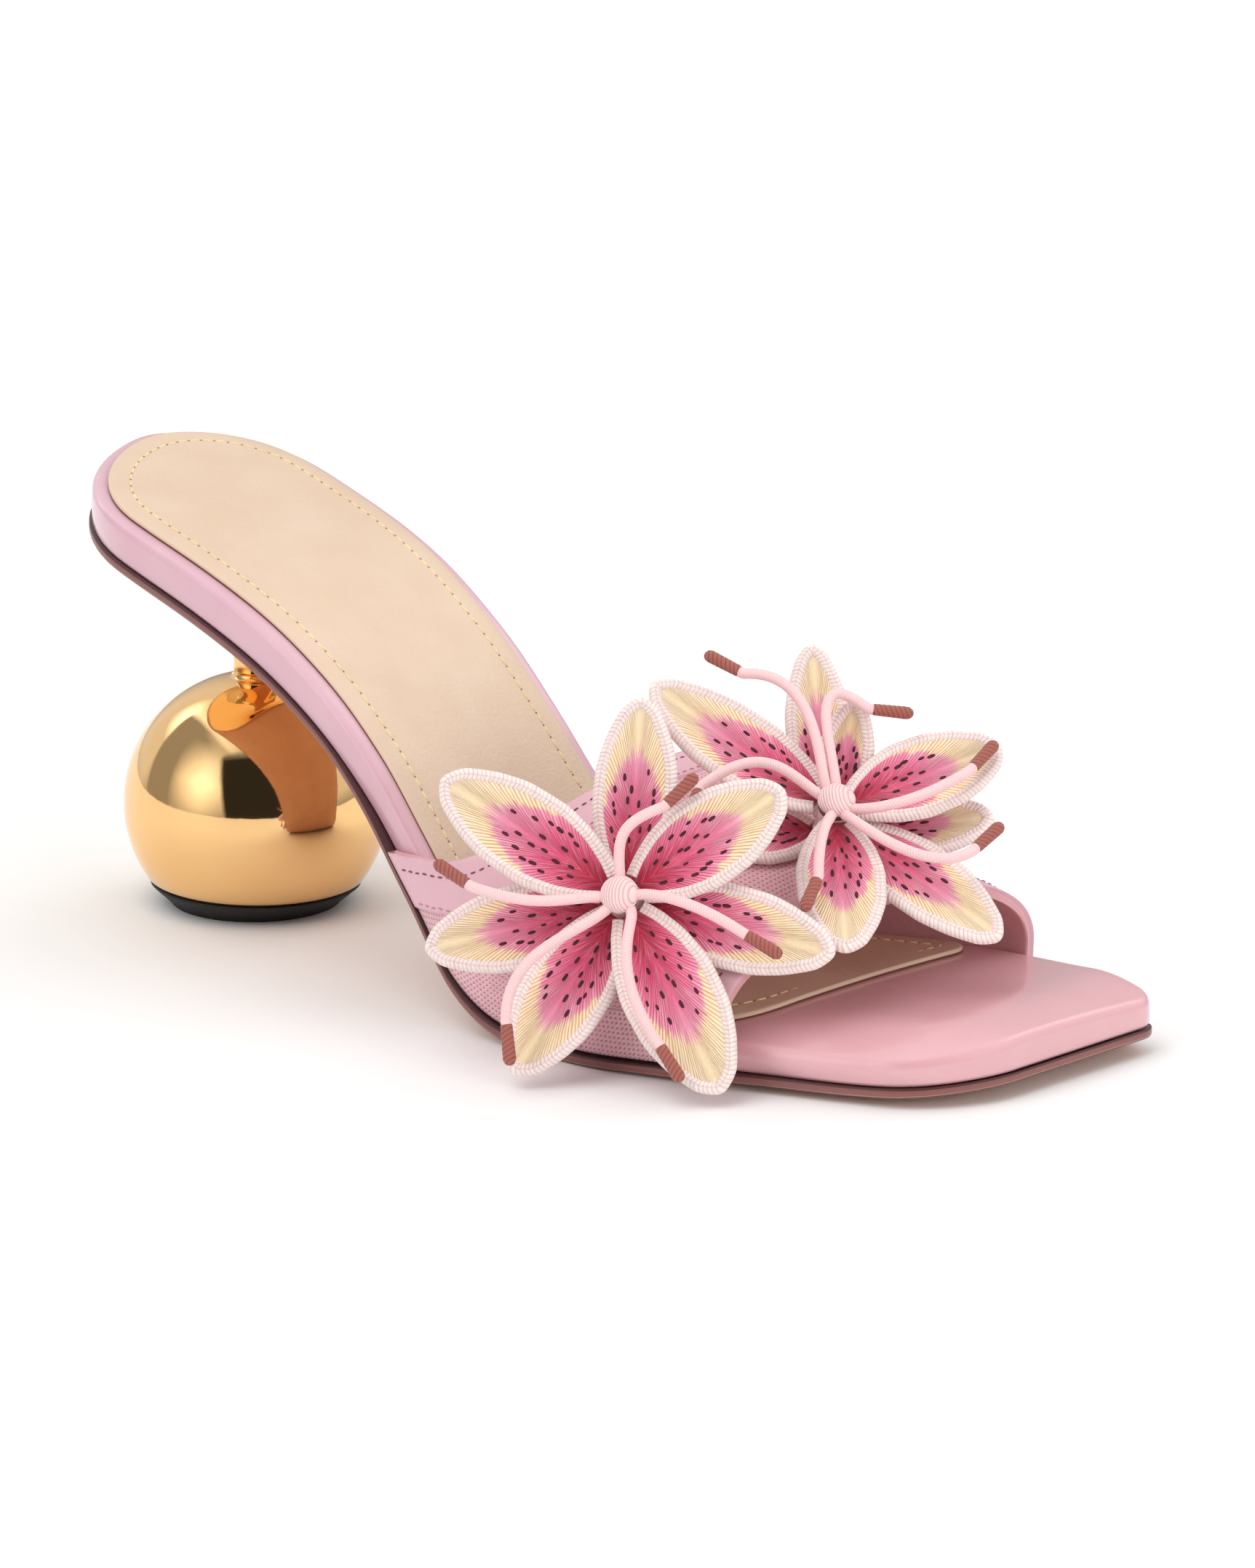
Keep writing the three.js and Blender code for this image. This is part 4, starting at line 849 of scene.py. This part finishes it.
def make_vamp():
    knee = np.linspace(SHOULDER_SHARE, 1, 8)
    across = np.concatenate([-knee[:0:-1], np.linspace(-SHOULDER_SHARE, SHOULDER_SHARE, 110), knee[1:]])
    length = np.linalg.norm(vamp_inside(1, across) - vamp_inside(0, across), axis=-1)
    side = arc_length(vamp_inside(0.5, across))
    half = (WALL_THICKNESS + BAND_RAISE) / 2
    turns = np.linspace(0, np.pi / 2, 6)[:-1]
    rear_end, front_end = REAR_BAND_WIDTH + 0.25, FRONT_BAND_WIDTH + 0.25
    rows = []  # distance from the rear edge, depths of the outer and inner face, slot
    for turn in turns:
        rows.append((ROLL * (1 - math.sin(turn)), half + half * math.sin(turn), half - half * math.sin(turn), 0))
    for distance in (ROLL, 1, 2, 3.5, 5, 6.5, 7.6, rear_end - 0.4, rear_end - 0.2, rear_end):
        rows.append((distance + 0 * length, None, 0, 0 if distance < rear_end else 1))
    for share in np.linspace(0, 1, 44):
        rows.append((rear_end + 0.4 + (length - front_end - rear_end - 0.8) * share, None, 0, 1))
    for distance in (front_end, front_end - 0.2, front_end - 0.4, 6.4, 5, 3.5, 2, 1, ROLL):
        rows.append((length - distance, None, 0, 0))
    for turn in turns[::-1]:
        distance = length - ROLL * (1 - math.sin(turn))
        rows.append((distance, half + half * math.sin(turn), half - half * math.sin(turn), 0))
    outer_points, inner_points, flat = [], [], []
    for distance, high, low, _ in rows:
        distance = distance + 0 * length
        edge = np.clip(distance / length, 0, 1)
        face, normal = vamp_inside(edge, across), vamp_normal(edge, across)
        high = vamp_depth(distance, length) if high is None else high + 0 * length
        outer_points.append(face + normal * high[:, None])
        inner_points.append(face + normal * low)
        flat.append(np.stack([side, distance], -1))
    outer_points, inner_points, flat = np.array(outer_points), np.array(inner_points), np.array(flat)
    n, m = outer_points.shape[:2]
    shape = Shape()
    shape.grid(outer_points, flat=flat, slot=np.repeat([[row[3]] for row in rows], m, 1))
    shape.grid(inner_points, flat=flat, slot=np.full((n, m), 2), flip=True)
    for k in (0, m - 1):
        foot = np.stack([inner_points[:, k], outer_points[:, k]], 1)
        shape.grid(foot, slot=0, flip=k == 0)
    made(shape, "vamp_wall", ["vamp"], "pink_cloth", "band", "cloth", "lining")

    # a strip of leather down the outer side
    shape = Shape()
    down = np.linspace(-0.995, -0.45, 50)
    long = np.linalg.norm(vamp_inside(1, down) - vamp_inside(0, down), axis=-1)
    strip = []
    for share, rise in ((-1, -0.2), (-1, 0.15), (-0.8, 0.32), (0, 0.36), (0.8, 0.32), (1, 0.15), (1, -0.2)):
        edge = STRIP_EDGE + share * STRIP_WIDTH / 2 / long
        strip.append(vamp_inside(edge, down) + vamp_normal(edge, down) * (WALL_THICKNESS + rise))
    shape.grid(np.array(strip))
    made(shape, "vamp_side_strip", [], "pink_cloth", "band")

    # stitches of the bands
    shape = Shape()
    line = np.linspace(-0.97, 0.97, 420)
    span = np.linalg.norm(vamp_inside(1, line) - vamp_inside(0, line), axis=-1)
    for distance, slot in ((np.full_like(span, 2.3), 0), (np.full_like(span, REAR_BAND_WIDTH - 0.9), 1), (span - 3.5, 0)):
        edge = distance / span
        normal = vamp_normal(edge, line)
        path = vamp_inside(edge, line) + normal * (WALL_THICKNESS + BAND_RAISE + 0.03)
        stitch_row(shape, path, normal, 1.9, 1.15, 0.4, slot)
    made(shape, "vamp_stitches", [], "pink_cloth", "dark_stitch", "soft_stitch")


# ---------------------------------------------------------------- heel
def lathe(shape, profile, sides=96, slot=0, shear=0.0):
    profile = np.asarray(profile, float)
    turn = np.linspace(0, 2 * np.pi, sides, endpoint=False)
    points = np.stack([
        profile[:, :1] * np.cos(turn),
        profile[:, :1] * np.sin(turn),
        profile[:, 1:] * np.ones(sides),
    ], -1)
    shape.grid(points, slot=slot, ring=True)


def make_heel():
    cut = math.sqrt(BALL_RADIUS**2 - (BALL_CENTRE_HEIGHT - TIP_THICKNESS) ** 2)
    collar_foot = BALL_CENTRE_HEIGHT + math.sqrt(BALL_RADIUS**2 - STEM_RADIUS**2)
    collar_top = collar_foot + COLLAR_HEIGHT
    low = math.asin((TIP_THICKNESS - BALL_CENTRE_HEIGHT) / BALL_RADIUS)
    high = math.acos(STEM_RADIUS / BALL_RADIUS)
    turns = np.linspace(low, high, 60)
    ball = [(0, TIP_THICKNESS), (cut * 0.5, TIP_THICKNESS), (cut - 0.4, TIP_THICKNESS), (cut - 0.1, TIP_THICKNESS + 0.02)]
    ball += [(BALL_RADIUS * math.cos(t), BALL_CENTRE_HEIGHT + BALL_RADIUS * math.sin(t)) for t in turns[1:-1]]
    ball += [(STEM_RADIUS, collar_foot), (STEM_RADIUS, collar_top - 0.15), (STEM_RADIUS - 0.15, collar_top), (0, collar_top)]
    shape = Shape()
    lathe(shape, ball)
    made(shape, "heel_ball_polished", ["heel_ball"], "gold_metal", "gold")

    shape = Shape()
    top = TIP_THICKNESS - CLEARANCE
    tip = [
        (0, 0), (TIP_RADIUS - 0.5, 0), (TIP_RADIUS - 0.12, 0.1), (TIP_RADIUS, 0.4),
        (cut - 0.9, top - 1.0), (cut - 0.4, top - 0.55), (cut - 0.35, top - 0.1), (cut - 0.6, top), (0, top),
    ]
    profile = np.array(tip, float)
    turn = np.linspace(0, 2 * np.pi, 96, endpoint=False)
    x, y = profile[:, :1] * np.cos(turn), profile[:, :1] * np.sin(turn)
    z = profile[:, 1:] * np.ones(96)
    upright = np.stack([x, y, z - x * math.tan(LEAN) * (z / top)], -1)
    c, s = math.cos(LEAN), math.sin(LEAN)
    shape.grid(np.stack([upright[..., 0] * c - upright[..., 2] * s, upright[..., 1], upright[..., 0] * s + upright[..., 2] * c], -1), ring=True)
    made(shape, "heel_tip_rubber", ["heel_tip"], "black_rubber", "rubber")

    sides = 96
    turn = np.linspace(0, 2 * np.pi, sides, endpoint=False)
    seat_back = SEAT_INSET - HEEL_SETBACK
    seat_middle = (SEAT_FRONT + seat_back) / 2
    x = seat_middle - (SEAT_FRONT - seat_back) / 2 * np.cos(turn)
    rounding = np.minimum(1, np.sqrt(np.abs(np.sin(turn))))
    outer_y = edge_side(-1, x) + SEAT_INSET - HEEL_AXIS_SIDE
    inner_y = edge_side(1, x) - SEAT_INSET - HEEL_AXIS_SIDE
    rim = np.stack([x, HEEL_AXIS_SIDE + np.where(np.sin(turn) < 0, outer_y, inner_y) * rounding], -1)
    centre = np.array([seat_middle, HEEL_AXIS_SIDE])
    round_stem = np.stack([-STEM_RADIUS * np.cos(turn), STEM_RADIUS * np.sin(turn)], -1)

    def under(p):
        return ground_height(p[:, 0], p[:, 1]) - CLEARANCE

    def ring(plan, height):
        return np.concatenate([plan, height[:, None]], 1)

    drop_at = curve_through(np.array([(0, 0), (0.22, 0.04), (0.5, 0.12), (0.75, 0.28), (0.92, 0.55), (1, 1)]), 1)
    stem_top = ground_height(0.0, 0.0) - CLEARANCE - SEAT_THICKNESS - FLARE_HEIGHT
    rings = []
    for share in (0.0, 0.33, 0.66, 0.985):
        plan = centre + (rim - centre) * max(share, 1e-4)
        rings.append(ring(plan, under(plan)))
    rings.append(ring(rim, under(rim) - 0.2))
    rings.append(ring(rim, under(rim) - SEAT_THICKNESS + 0.3))
    inside = centre + (rim - centre) * 0.985
    rings.append(ring(inside, under(inside) - SEAT_THICKNESS))
    for blend in np.linspace(0.04, 1, 26) ** 0.8:
        plan = rim + (round_stem - rim) * blend
        plate = under(plan) - SEAT_THICKNESS
        rings.append(ring(plan, plate + (stem_top - plate) * drop_at(blend)))
    for share in (0.3, 0.6, 0.97):
        rings.append(ring(round_stem, np.full(sides, stem_top + (collar_top + CLEARANCE - stem_top) * share)))
    small = round_stem * (1 - 0.2 / STEM_RADIUS)
    rings.append(ring(small, np.full(sides, collar_top + CLEARANCE)))
    rings.append(ring(round_stem * 1e-4, np.full(sides, collar_top + CLEARANCE)))
    shape = Shape()
    shape.grid(np.array(rings), ring=True)
    made(shape, "heel_stem_polished", ["heel_stem"], "gold_metal", "gold")


# ---------------------------------------------------------------- lilies
def polar(degrees, radius, height):
    turn = math.radians(degrees)
    return np.array([radius * math.cos(turn), radius * math.sin(turn), height])



class Lily:
    def __init__(self, name):
        along, side, height, facing, lift, self.post = LILIES[name]
        facing, lift = math.radians(facing), math.radians(lift)
        level = np.array([math.cos(facing), math.sin(facing), 0])
        axis = level * math.cos(lift) + np.array([0, 0, math.sin(lift)])
        right = np.cross([0, 0, 1], axis)
        right /= np.linalg.norm(right)
        self.turn = np.stack([right, np.cross(axis, right), axis])
        self.middle = np.array([along * SOLE_LENGTH - HEEL_SETBACK, side * FOREFOOT_WIDTH, height * VAMP_HEIGHT])

    def place(self, points):
        return np.asarray(points) @ self.turn + self.middle


def rim_relief(length, turn):
    """A groove along the top of the rim, where its two rows of slanted strands meet."""
    off = np.abs((turn - np.pi / 2 + np.pi) % (2 * np.pi) - np.pi) + 0 * length
    return -0.05 - 0.1 * np.exp(-((off / 0.3) ** 2))


def petal_piece(lily, name, number, row):
    turn, layer, reach, width, rise = row
    forward = np.array([math.cos(math.radians(turn)), math.sin(math.radians(turn)), 0])
    side = np.array([-forward[1], forward[0], 0])
    length = reach * PETAL_LENGTH
    random = np.random.default_rng(number)

    def middle_line(at):
        """Distance from the axis, half width between the rims' middles, and height."""
        reach_at = ROOT_RADIUS + (length - RIM_RADIUS * 0.95 - ROOT_RADIUS) * at
        real = (reach_at - ROOT_RADIUS) / (length - ROOT_RADIUS)
        half = petal_half(real) * width * PETAL_WIDTH / 2 - RIM_RADIUS * 0.95
        end = np.clip((at - 0.93) / 0.07, 0, 1)
        half = half * np.sqrt(np.maximum(0, 1 - end**2))
        height = layer * LAYER_STEP + rise * PETAL_LENGTH * real**2
        cup = PETAL_CUP * np.sin(np.pi * real)
        return reach_at, np.maximum(half, 0), height, cup

    def spot(at, share, up):
        reach_at, half, height, cup = middle_line(at)
        across = share * half
        bend = cup * np.abs(share) + height
        return (
            forward * reach_at[..., None]
            + side * across[..., None]
            + np.array([0, 0, 1]) * (bend + up)[..., None]
        ), np.stack([reach_at - ROOT_RADIUS, across], -1)

    shape = Shape()
    at, share = np.meshgrid(np.linspace(0, 1, 70) ** 0.9, np.linspace(-1, 1, 41), indexing="ij")
    pillow = 0.32 * np.sin(np.pi * np.clip(np.abs(share), 0, 1)) * np.sin(np.pi * np.clip(at, 0, 1)) ** 0.5
    top, flat = spot(at, share, PETAL_PLATE / 2 + pillow)
    low, _ = spot(at, share, np.full_like(at, -PETAL_PLATE / 2))
    shares = np.stack([at, share], -1)
    shape.grid(lily.place(top), flat=flat, share=shares, slot=0, flip=True)
    shape.grid(lily.place(low), flat=flat, share=shares, slot=1)
    for k, flip in ((0, False), (-1, True)):
        wall = np.stack([low[:, k], top[:, k]], 1)
        shape.grid(lily.place(wall), slot=1, flip=flip)
    root = np.stack([low[0], top[0]], 1)
    shape.grid(lily.place(root), slot=1, flip=True)

    t = np.concatenate([np.linspace(0, 0.85, 60)[:-1], 1 - np.linspace(0.15**0.5, 0, 40) ** 2])
    edge, _ = spot(t, np.ones_like(t), np.zeros_like(t))
    other, _ = spot(t, -np.ones_like(t), np.zeros_like(t))
    path = np.concatenate([edge, other[::-1][1:]])
    count = int(arc_length(path)[-1] / 0.17)
    path = resampled(path, count)
    tube(shape, lily.place(path), lily.turn[2], RIM_RADIUS, 14, rim_relief, slot=2)

    rows = [(0.16, 2), (0.23, 3), (0.3, 4), (0.37, 3), (0.44, 4), (0.52, 3), (0.6, 2)]
    for i, (where, number_of) in enumerate(rows):
        for j in range(number_of):
            place = where + random.uniform(-0.025, 0.025)
            wide = (0.86 - 0.25 * where) * ((j + 0.5) / number_of * 2 - 1) + random.uniform(-0.07, 0.07)
            if abs(wide) < 0.07:
                wide = 0.1
            at_dot, share_dot = np.array([place]), np.array([wide])
            lift = PETAL_PLATE / 2 + 0.32 * math.sin(math.pi * abs(wide)) * math.sin(math.pi * place) ** 0.5
            centre, _ = spot(at_dot, share_dot, np.array([lift + 0.02]))
            ahead, _ = spot(at_dot + 0.02, share_dot * 1.02, np.array([lift + 0.02]))
            size = random.uniform(1.1, 1.75)
            direction = (ahead - centre)[0]
            bead(shape, lily.place(centre[0]), direction @ lily.turn, lily.turn[2], size, size * 0.42, 0.3, slot=3)
    node = f"{name}_petal_{number}"
    made(shape, node + "_embroidered", [node], "petal_thread", "petal", "petal_back", "rim", "dot")


def button_piece(lily, name):
    shape = Shape()
    post = lily.post
    profile = np.array([
        (0, -post), (POST_RADIUS, -post), (POST_RADIUS, STAMEN_ROOT - 1.9), (POST_RADIUS, STAMEN_ROOT - 1.7),
    ], float)
    turn = np.linspace(0, 2 * np.pi, 64, endpoint=False)
    points = np.stack([profile[:, :1] * np.cos(turn), profile[:, :1] * np.sin(turn), profile[:, 1:] * np.ones(64)], -1)
    flat = np.stack(np.meshgrid(profile[:, 1], np.linspace(0, 2 * np.pi, 65), indexing="ij"), -1)
    lift = np.linspace(-np.pi / 2, np.pi / 2, 72)[:, None]
    centre, rise = STAMEN_ROOT + 0.35, 2.15
    x = np.cos(lift) * np.cos(turn)
    y = np.cos(lift) * np.sin(turn)
    z = np.sin(lift) * np.ones(64)
    slant = math.radians(62)
    wound = x * math.sin(slant) + z * math.cos(slant)
    ball_flat = np.stack([wound * BUTTON_RADIUS, np.zeros_like(wound)], -1)
    ball_flat = np.concatenate([ball_flat, ball_flat[:, :1]], 1)
    relief = 1 - 0.045 + 0.045 * np.abs(np.sin(np.pi * wound * BUTTON_RADIUS / 0.62))
    ball = np.stack([x * BUTTON_RADIUS, y * BUTTON_RADIUS, z * rise], -1) * relief[..., None]
    ball[..., 2] += centre
    shape.grid(lily.place(points), flat=flat, ring=True)
    shape.grid(lily.place(ball), flat=ball_flat, ring=True)
    node = f"{name}_button"
    made(shape, node + "_wound", [node], "pale_cord", "button")


def bezier(a, b, c, d, count):
    t = np.linspace(0, 1, count)[:, None]
    return (1 - t) ** 3 * a + 3 * (1 - t) ** 2 * t * b + 3 * (1 - t) * t * t * c + t**3 * d


def stamen_pieces(lily, name, number, row):
    turn, pull, end, reach, height, arrive, lead, heading = row
    start = BUTTON_RADIUS + ROOT_GAP
    tip = polar(end, reach, height)
    path = bezier(
        polar(turn, start - 0.9, STAMEN_ROOT),
        polar(turn, start + pull, STAMEN_ROOT + CORD_RISE),
        tip - polar(arrive, lead, -CORD_RISE),
        tip,
        90,
    )
    onward = polar(heading, 0.9, 0)
    path = resampled(np.concatenate([path, [tip + onward]]), 100)
    shape = Shape()
    tube(shape, lily.place(path), lily.turn[2], CORD_RADIUS, 14)
    node = f"{name}_filament_{number}"
    made(shape, node + "_cord", [node], "pale_cord", "cord")

    shape = Shape()
    first = tip + polar(heading, CLEARANCE, 0)
    s = np.linspace(0, 1, 60)
    line = first + s[:, None] * polar(heading, ANTHER_LENGTH, 0)
    ends = np.minimum(1, np.minimum(s / 0.9, (1 - s) / 1.5) * ANTHER_LENGTH)
    radius = ANTHER_RADIUS * np.sqrt(1 - (1 - ends) ** 2) * (0.9 + 0.12 * s)
    radius = np.maximum(radius, 0.02)

    def wound(length, around):
        return 0.05 * np.abs(np.sin(np.pi * length / 0.9 + around)) - 0.05

    tube(shape, lily.place(line), lily.turn[2], radius, 16, wound, flatten=0.9)
    node = f"{name}_anther_{number}"
    made(shape, node + "_wound", [node], "anther_thread", "anther")


def make_lilies():
    for name in LILIES:
        lily = Lily(name)
        button_piece(lily, name)
        for number, row in enumerate(PETALS[name], 1):
            petal_piece(lily, name, number, row)
        for number, row in enumerate(STAMENS[name], 1):
            stamen_pieces(lily, name, number, row)


# ---------------------------------------------------------------- floor, light and camera
def make_stage():
    reach = 6
    mesh = bpy.data.meshes.new("floor")
    mesh.from_pydata([(-reach, -reach, 0), (reach, -reach, 0), (reach, reach, 0), (-reach, reach, 0)], [], [(0, 1, 2, 3)])
    floor = bpy.data.objects.new("floor", mesh)
    bpy.context.scene.collection.objects.link(floor)
    paper = Look("floor_paper", Roughness=0.6)
    paper.set(Base_Color=paper.mix(paper.noise(0.01, 2.0), linear(250, 249, 248), linear(246, 245, 244)))
    mesh.materials.append(paper.material)


def soft_sun(name, azimuth, elevation, angle, power, colour=(1, 1, 1)):
    """A broad far light. Azimuth 0 stands towards -Y and 90 towards +X."""
    light = bpy.data.lights.new(name, "SUN")
    light.energy, light.color, light.angle = power, colour, math.radians(angle)
    a, e = math.radians(azimuth), math.radians(elevation)
    towards = Vector((math.sin(a) * math.cos(e), -math.cos(a) * math.cos(e), math.sin(e)))
    lamp = bpy.data.objects.new(name, light)
    lamp.rotation_euler = towards.to_track_quat("Z", "Y").to_euler()
    lamp.visible_glossy = False
    bpy.context.scene.collection.objects.link(lamp)


# azimuth, elevation, half width and half height in degrees, brightness, soft edge
SOFT_BOXES = [
    (-95, 40, 32, 45, 0.85, 0.3),
    (-80, 38, 14, 9, 2.6, 0.1),
    (-45, 64, 24, 10, 2.0, 0.15),
    (155, 45, 24, 12, 2.0, 0.15),
    (-30, 30, 43, 30, 0.36, 0.05),
    (-10, 24, 20, 18, 1.9, 0.3),
    (45, 28, 32, 31, 0.03, 0.05),
    (112, 30, 34, 26, 0.8, 0.12),
    (40, 88, 28, 28, 1.0, 0.2),
]


def make_light():
    world = bpy.data.worlds.new("studio")
    bpy.context.scene.world = world
    world.use_nodes = True
    sky = Nodes(world.node_tree)
    towards = sky.add("TexCoord").outputs["Generated"]

    def along(vector):
        return sky.add("VectorMath", {0: towards, 1: vector}, operation="DOT_PRODUCT").outputs["Value"]

    light = sky.between(along((0, 0, 1)), 0.0, 0.6, 0.34, 0.5)
    for azimuth, elevation, wide, high, power, soft in SOFT_BOXES:
        a, e = math.radians(azimuth), math.radians(elevation)
        ahead = Vector((math.sin(a) * math.cos(e), -math.cos(a) * math.cos(e), math.sin(e)))
        side = Vector((math.cos(a), math.sin(a), 0))
        front = along(ahead)
        inside = sky.math("GREATER_THAN", front, 0.02)
        for axis, half in ((side, wide), (side.cross(ahead), high)):
            slope = sky.math("ABSOLUTE", sky.math("DIVIDE", along(axis), sky.math("MAXIMUM", front, 0.02)))
            edge = math.tan(math.radians(half))
            inside = sky.math("MULTIPLY", inside, sky.between(slope, edge - soft, edge + soft, 1.0, 0.0))
        gain = sky.math("MULTIPLY", inside, sky.math("SUBTRACT", power, light))
        light = sky.math("ADD", light, gain)
    sky.put(world.node_tree.nodes["Background"].inputs[1], light)
    world.node_tree.nodes["Background"].inputs[0].default_value = (1, 1, 1, 1)
    soft_sun("key", azimuth=-12, elevation=58, angle=50, power=1.05)
    soft_sun("front", azimuth=78, elevation=13, angle=40, power=1.1)
    soft_sun("back", azimuth=160, elevation=55, angle=60, power=0.3)


def make_camera():
    """Stands where the photograph's does, and is aimed at the one shoe."""
    camera = bpy.data.cameras.new("camera")
    camera.sensor_width = 36
    camera.lens = 158
    camera.clip_start, camera.clip_end = 0.05, 30
    holder = bpy.data.objects.new("camera", camera)
    place = Vector((0.88983, -0.94820, 0.38236))
    aim = Vector((0.0935, 0.002, 0.0395))
    holder.location = place
    holder.rotation_euler = (aim - place).to_track_quat("-Z", "Y").to_euler()
    bpy.context.scene.collection.objects.link(holder)
    bpy.context.scene.camera = holder
    bpy.context.scene.view_settings.view_transform = "Standard"


make_camera()
make_stage()
make_light()
make_sole()
make_vamp()
make_heel()
make_lilies()
